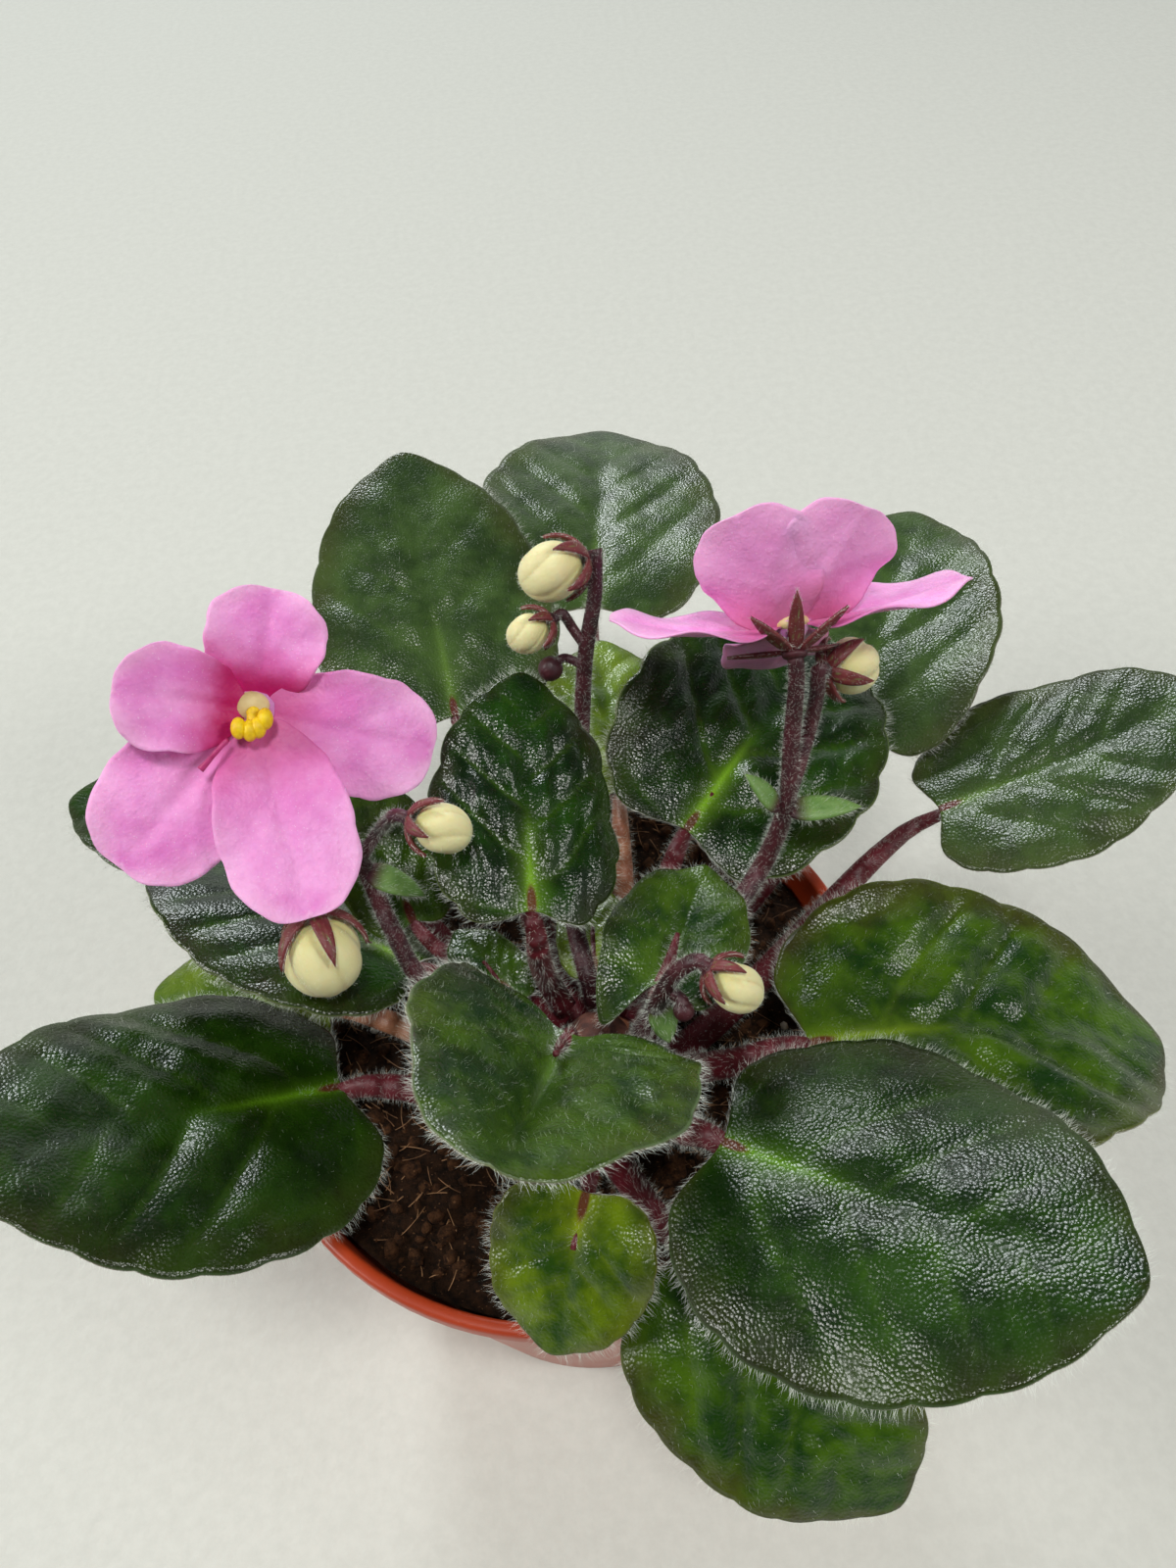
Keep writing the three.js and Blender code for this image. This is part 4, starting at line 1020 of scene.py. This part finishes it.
def make_flower_stalks(white):
    templates = {"ball": ball_template(*GRIDS["knob"]), "rod": tube_template(*GRIDS["flower_stalk"]),
                 "sheet": sheet_template(*GRIDS["sepal"])}
    skin = stalk_finish("flower_stalk", (44, 14, 22), (80, 28, 38), (92, 56, 50))
    for name, stalk in FLOWER_STALKS.items():
        hairs = Hairs()
        end, solids, blades = stalk_end(stalk, templates)
        foot = crown_point(*stalk["root"], GAP + 0.9)
        rods = [Rod(curve_through([foot, *stalk["stem"], *end]), stalk["radius"], 0.75 * stalk["radius"])]
        for branch in stalk["branches"]:
            end, more, others = stalk_end(branch, templates)
            rods.append(Rod(curve_through([*branch["path"], *end]), branch["radius"], branch["radius"]))
            solids, blades = solids + more, blades + others
        bracts = []
        for at, turn, (length, width) in stalk["bracts"]:
            bracts.append(sepal(at, blade_axes(*turn), length, 1.15 * width, 24))
        parts = [rod.mesh(templates["rod"]) for rod in rods]
        parts += [blade.mesh(templates["sheet"], foot=1) for blade in blades]
        parts += [bract.mesh(templates["sheet"], vein=1, foot=0) for bract in bracts]
        blades += bracts
        grown(f"flower_stalk_{name}", parts + solids, skin)
        for rod in rods:
            rod.hairs(hairs, *FLOWER_STALK_HAIRS)
        for blade in blades:
            length = SEPAL_HAIRS["bract_length" if blade in bracts else "length"]
            for face in (1, -1):
                face_hairs(hairs, blade, SEPAL_HAIRS["count"], length, SEPAL_HAIRS["width"], face)
            rim_hairs(hairs, blade, SEPAL_HAIRS["rim_count"], 1.2 * length, SEPAL_HAIRS["rim_width"])
        hairs.make("hairs_flower_stalk_" + name, white, "flower_stalk")


def make_buds(white):
    template, finish, hairs = ball_template(*GRIDS["bud"]), bud_finish(), Hairs()
    for name, (centre, point, radius, half) in BUDS.items():
        p = corners(template)
        angle = np.arctan2(p[:, 1], p[:, 0])
        twist = angle + 0.5 * p[:, 2]
        seam = np.exp(-((np.abs(np.sin(2.5 * twist)) / 0.2) ** 2))
        lune = np.abs(np.sin(2.5 * twist)) ** 0.5
        girth = radius * (0.87 + 0.16 * lune[:, None])
        points = np.hstack([p[:, :2] * girth, p[:, 2:] * half]) @ turned_to(point) + centre
        made = shaped(template, points, along=(p[:, 2] + 1) / 2, vein=seam)
        grown(f"bud_{name}", [made], finish)
        pick = rng.integers(0, len(points), int(radius * radius * BUD_HAIRS["count"]))
        out = unit(points[pick] - centre)
        ways = out + rng.normal(0, 0.3, out.shape)
        lengths = BUD_HAIRS["length"] * rng.uniform(0.5, 1.2, len(pick))
        hairs.add(points[pick] - 0.04 * out, ways, lengths, BUD_HAIRS["width"])
    hairs.make("hairs_buds", white, "bud")


def make_flowers():
    sheet, rod = sheet_template(*GRIDS["petal"]), tube_template(*GRIDS["flower_rod"])
    ball_mesh = ball_template(*GRIDS["anther"])
    petal_look = petal_finish()
    throat_look = plain_finish("throat", (212, 190, 132), (226, 206, 150), 1.6, 0.4, 0.3, 0.06)
    anther = plain_finish("anther", (230, 188, 0), (248, 214, 0), 0.8, 0.4, 0.25, 0.08)
    pistil = plain_finish("pistil", (170, 30, 96), (200, 62, 130), 1.5, 0.4, 0.4, 0.05)
    for name, flower in FLOWERS.items():
        face = flower_axes(flower)[2]
        parts = []
        for number, (bearing, lift, roll, size, bend, cup) in enumerate(flower["petals"]):
            out, axes = petal_axes(flower, bearing, lift, roll)
            foot = np.array(flower["centre"], float) + out + face * PETAL_HEIGHTS[number]
            petal = Blade(foot, axes, size, bend, cup, seed=number, **PETAL)
            parts.append(petal.mesh(sheet, vein=1.0 if number < UPPER_PETALS else 0.4))
        throat = Rod([on_face(flower, 0, 0, -THROAT["depth"] + 0.4), on_face(flower, 0, 0, 0.4)],
                     THROAT["foot"], THROAT["radius"])
        parts.append(throat.mesh(rod))
        grown(f"flower_{name}_petals", parts, petal_look)
        dome = ball(ball_mesh, on_face(flower, 0, 0.7, 0.2), face, DOME)
        make_piece(f"flower_{name}_throat", [dome], throat_look)
        x, y = flower["stamens"]
        column = Rod([on_face(flower, 0, 0, 1.2), on_face(flower, x, y, 3)], 0.8, 0.8)
        lobes = [column.mesh(rod)]
        for side in (-1, 1):
            for pair in (-1, 1):
                at = on_face(flower, x + side * ANTHER_SPREAD + pair * ANTHER_PAIR,
                             y + side * pair * 0.35, 3.4)
                lobes.append(ball(ball_mesh, at, face, ANTHER_LOBE))
        grown(f"flower_{name}_stamens", lobes, anther)
        x, y = flower["style"]
        bow = bezier(on_face(flower, x * 0.5, y * 0.5, 3), on_face(flower, x * 0.6, y * 0.6, 3.7),
                     on_face(flower, x * 0.8, y * 0.8, 4.1), on_face(flower, x, y, 4.4))
        style = Rod(bow, 0.3, 0.46, 5)
        grown(f"flower_{name}_pistil", [style.mesh(rod)], pistil)


# ---------------------------------------------------------------- pot, soil and crown

def wall_radius(z):
    return POT["base"] + (POT["rim"] - 0.6 - POT["base"]) * z / POT["height"]


def turned(profile, steps):
    """A closed profile of (radius, height) turned round the upright axis."""
    bm = bmesh.new()
    verts = [bm.verts.new((r, 0, z)) for r, z in profile]
    edges = [bm.edges.new(pair) for pair in zip(verts, verts[1:])]
    bmesh.ops.spin(bm, geom=verts + edges, cent=(0, 0, 0), axis=(0, 0, 1), angle=TAU, steps=steps,
                   use_merge=True)
    bmesh.ops.remove_doubles(bm, verts=bm.verts[:], dist=1e-4)
    return finished_template(bm)


def rounded(profile, radius):
    """The profile with each sharp corner cut by three short edges."""
    made = [profile[0]]
    for before, here, after in zip(profile, profile[1:], profile[2:]):
        a, b, c = (np.array(p, float) for p in (before, here, after))
        cut = min(radius, 0.4 * np.linalg.norm(a - b), 0.4 * np.linalg.norm(c - b))
        start, end = b + unit(a - b) * cut, b + unit(c - b) * cut
        for t in (0, 0.33, 0.67, 1):
            made.append(tuple(start * (1 - t) ** 2 + 2 * b * t * (1 - t) + end * t * t))
    return made + [profile[-1]]


def make_pot():
    top, rim, lip, wall, floor = POT["height"], POT["rim"], POT["lip"], POT["wall"], POT["floor"]
    under = top - POT["lip_height"]
    profile = [
        (0, 0), (POT["base"], 0), (wall_radius(under), under), (rim, under + 0.5), (rim, top),
        (rim - lip, top), (wall_radius(under) - wall, under), (wall_radius(floor) - wall, floor), (0, floor),
    ]
    shell = turned(rounded(profile, POT_ROUNDING), POT_SIDES)
    body = make_piece("pot_body", [shell], pot_finish(), ["pot"])
    bm = bmesh.new()
    for k in range(HOLES["count"]):
        angle = TAU * (k + 0.5) / HOLES["count"]
        at = Vector((math.cos(angle), math.sin(angle), 0)) * HOLES["ring"]
        bmesh.ops.create_cone(bm, cap_ends=True, segments=32, radius1=HOLES["radius"],
                              radius2=HOLES["radius"], depth=6, matrix=Matrix.Translation(at))
    bmesh.ops.scale(bm, vec=(MM, MM, MM), verts=bm.verts[:])
    drill = placed("drill", mesh_from(bm, "drill"))
    cut = body.modifiers.new("drain_holes", "BOOLEAN")
    cut.operation, cut.object, cut.solver = "DIFFERENCE", drill, "EXACT"
    drilled = bpy.data.meshes.new_from_object(body.evaluated_get(bpy.context.evaluated_depsgraph_get()))
    body.modifiers.clear()
    body.data = drilled
    bpy.data.objects.remove(drill)
    body.data.set_sharp_from_angle(angle=math.radians(SHARP_ANGLE))


def soil_height(x, y):
    lumps = np.sin(0.42 * x + 1.3) * np.cos(0.37 * y - 0.6) + 0.6 * np.sin(0.9 * x - 0.7 * y)
    crumbs = 0.5 * np.sin(2.1 * x + 1.7 * np.sin(1.3 * y)) * np.sin(2.4 * y + 1.1 * np.sin(1.7 * x))
    return SOIL_LEVEL + 0.4 * lumps + 0.9 * (np.hypot(x, y) / 45) ** 2 + 0.45 * crumbs


def from_crown(x, y):
    """How far a place is from the crown's axis."""
    return np.hypot(x - CROWN["x"], y - CROWN["y"])


def make_soil():
    clear = POT["wall"] + GAP + 0.2
    outer, foot = wall_radius(SOIL_LEVEL) - clear, wall_radius(SOIL_BOTTOM) - clear
    profile = [(outer * k / SOIL_RINGS, SOIL_LEVEL) for k in range(SOIL_RINGS + 1)]
    mesh = turned(profile + [(foot, SOIL_BOTTOM), (0, SOIL_BOTTOM)], SOIL_SIDES)
    p = corners(mesh)
    top = p[:, 2] > SOIL_LEVEL - 1
    p[top, 2] = soil_height(p[top, 0], p[top, 1])
    in_hole = from_crown(p[top, 0], p[top, 1]) < CROWN["radius"] + 1.2
    p[top, 2] = np.where(in_hole, CROWN["bottom"] - GAP, p[top, 2])
    body = shaped(mesh, p)
    bpy.data.meshes.remove(mesh)
    make_piece("soil_bed", [body], soil_finish("soil", (14, 8, 4), (66, 42, 24)), ["soil"])

    def spots(count):
        radius = (outer - 1.5) * np.sqrt(rng.random(count))
        angle = rng.uniform(0, TAU, count)
        x, y = radius * np.cos(angle), radius * np.sin(angle)
        keep = from_crown(x, y) > CROWN["radius"] + 2.4
        return np.stack([x, y, soil_height(x, y)], -1)[keep]

    bm = bmesh.new()
    bmesh.ops.create_icosphere(bm, subdivisions=1, radius=1)
    template = finished_template(bm)

    def grain(at, lift, radii, low, high):
        """A ball whose corners are moved in or out at random."""
        return ball(template, at + (0, 0, lift), rng.normal(size=3), radii,
                    lambda p: p * rng.uniform(low, high, (len(p), 1)))

    crumbs, grit = [], []
    for at in spots(CRUMBS):
        size = rng.uniform(0.4, 1.5) ** 1.3
        crumbs.append(grain(at, 0.2 * size, size * rng.uniform(0.6, 1.2, 3), 0.75, 1.2))
    for at in spots(PERLITE_GRAINS):
        grit.append(grain(at, 0.5, rng.uniform(0.6, 1.2) * rng.uniform(0.7, 1.2, 3), 0.85, 1.15))
    make_piece("soil_crumbs", crumbs, soil_finish("soil_crumb", (22, 13, 8), (112, 74, 46)))
    pale = plain_finish("perlite", (176, 168, 150), (222, 216, 204), 1, 0.7, 0.4, 0.2)
    make_piece("soil_perlite", grit, pale)
    thread = tube_template(*GRIDS["fibre"])
    threads = []
    for at in spots(FIBRES):
        way = rng.uniform(0, TAU)
        reach = rng.uniform(1.2, 5)
        ahead = np.array([math.cos(way), math.sin(way), rng.uniform(-0.05, 0.25)]) * reach
        aside = np.cross(ahead, [0, 0, 1]) * rng.uniform(-0.12, 0.12)
        start = at + (0, 0, 0.35)
        path = bezier(start, start + ahead * 0.3 + aside, start + ahead * 0.7 + aside, start + ahead, 10)
        inside = np.hypot(path[:, 0], path[:, 1]).max() < outer - 0.5
        near_crown = from_crown(path[:, 0], path[:, 1]).min() < CROWN["radius"] + 0.8
        if inside and not near_crown:
            threads.append(Rod(path, rng.uniform(0.05, 0.11), 0.04).mesh(thread))
    brown = plain_finish("fibre", (104, 70, 42), (186, 140, 98), 3, 0.7, 0.3, 0.05)
    make_piece("soil_fibres", threads, brown)


def make_crown():
    c = CROWN
    middle = (c["bottom"] + c["shoulder"]) / 2
    profile = [(0, c["bottom"]), (c["radius"], c["bottom"]), (c["radius"], middle),
               ((c["radius"] * 2 + c["top_radius"]) / 3, middle + 8), (c["top_radius"], c["shoulder"]),
               (c["top_radius"] * 0.6, c["top"] - 0.8), (0, c["top"])]
    steps = []
    for (r0, z0), (r1, z1) in zip(profile, profile[1:]):
        count = max(1, int(math.hypot(r1 - r0, z1 - z0) / CROWN_STEP))
        steps += [(r0 + (r1 - r0) * k / count, z0 + (z1 - z0) * k / count) for k in range(count)]
    mesh = turned(steps + [profile[-1]], CROWN_SIDES)
    p = corners(mesh)
    angle = np.arctan2(p[:, 1], p[:, 0])
    scars = np.abs(np.sin(0.42 * p[:, 2] + 1.5 * angle)) * np.abs(np.sin(2.5 * angle + 0.2 * p[:, 2]))
    p[:, :2] *= (1 - 0.06 * scars)[:, None]
    body = shaped(mesh, p + (c["x"], c["y"], 0))
    bpy.data.meshes.remove(mesh)
    bark = plain_finish("crown", (62, 30, 24), (112, 64, 48), 2, 0.6, 0.6, 0.3)
    make_piece("crown_stem", [body], bark, ["crown"])


def make_floor():
    bm = bmesh.new()
    bmesh.ops.create_grid(bm, x_segments=1, y_segments=1, size=FLOOR_REACH_M)
    mesh = mesh_from(bm, "floor")
    f = Finish("paper_floor", specular_ior_level=0.2)
    colour = f.mix(f.step(f.noise(3, 5, 0.7), 0.3, 0.7), (203, 204, 197), (209, 210, 203))
    f.set(Base_Color=colour, Roughness=0.9, Normal=f.bump(f.noise(1.8, 5), 0.3, 0.5))
    mesh.materials.append(f.material)
    floor = placed("floor", mesh)


make_camera()
make_world()
for light, settings in LIGHTS.items():
    make_light(light, *settings)
make_floor()
make_pot()
make_soil()
make_crown()
hair_look = make_leaves()
make_flower_stalks(hair_look)
make_buds(hair_look)
make_flowers()
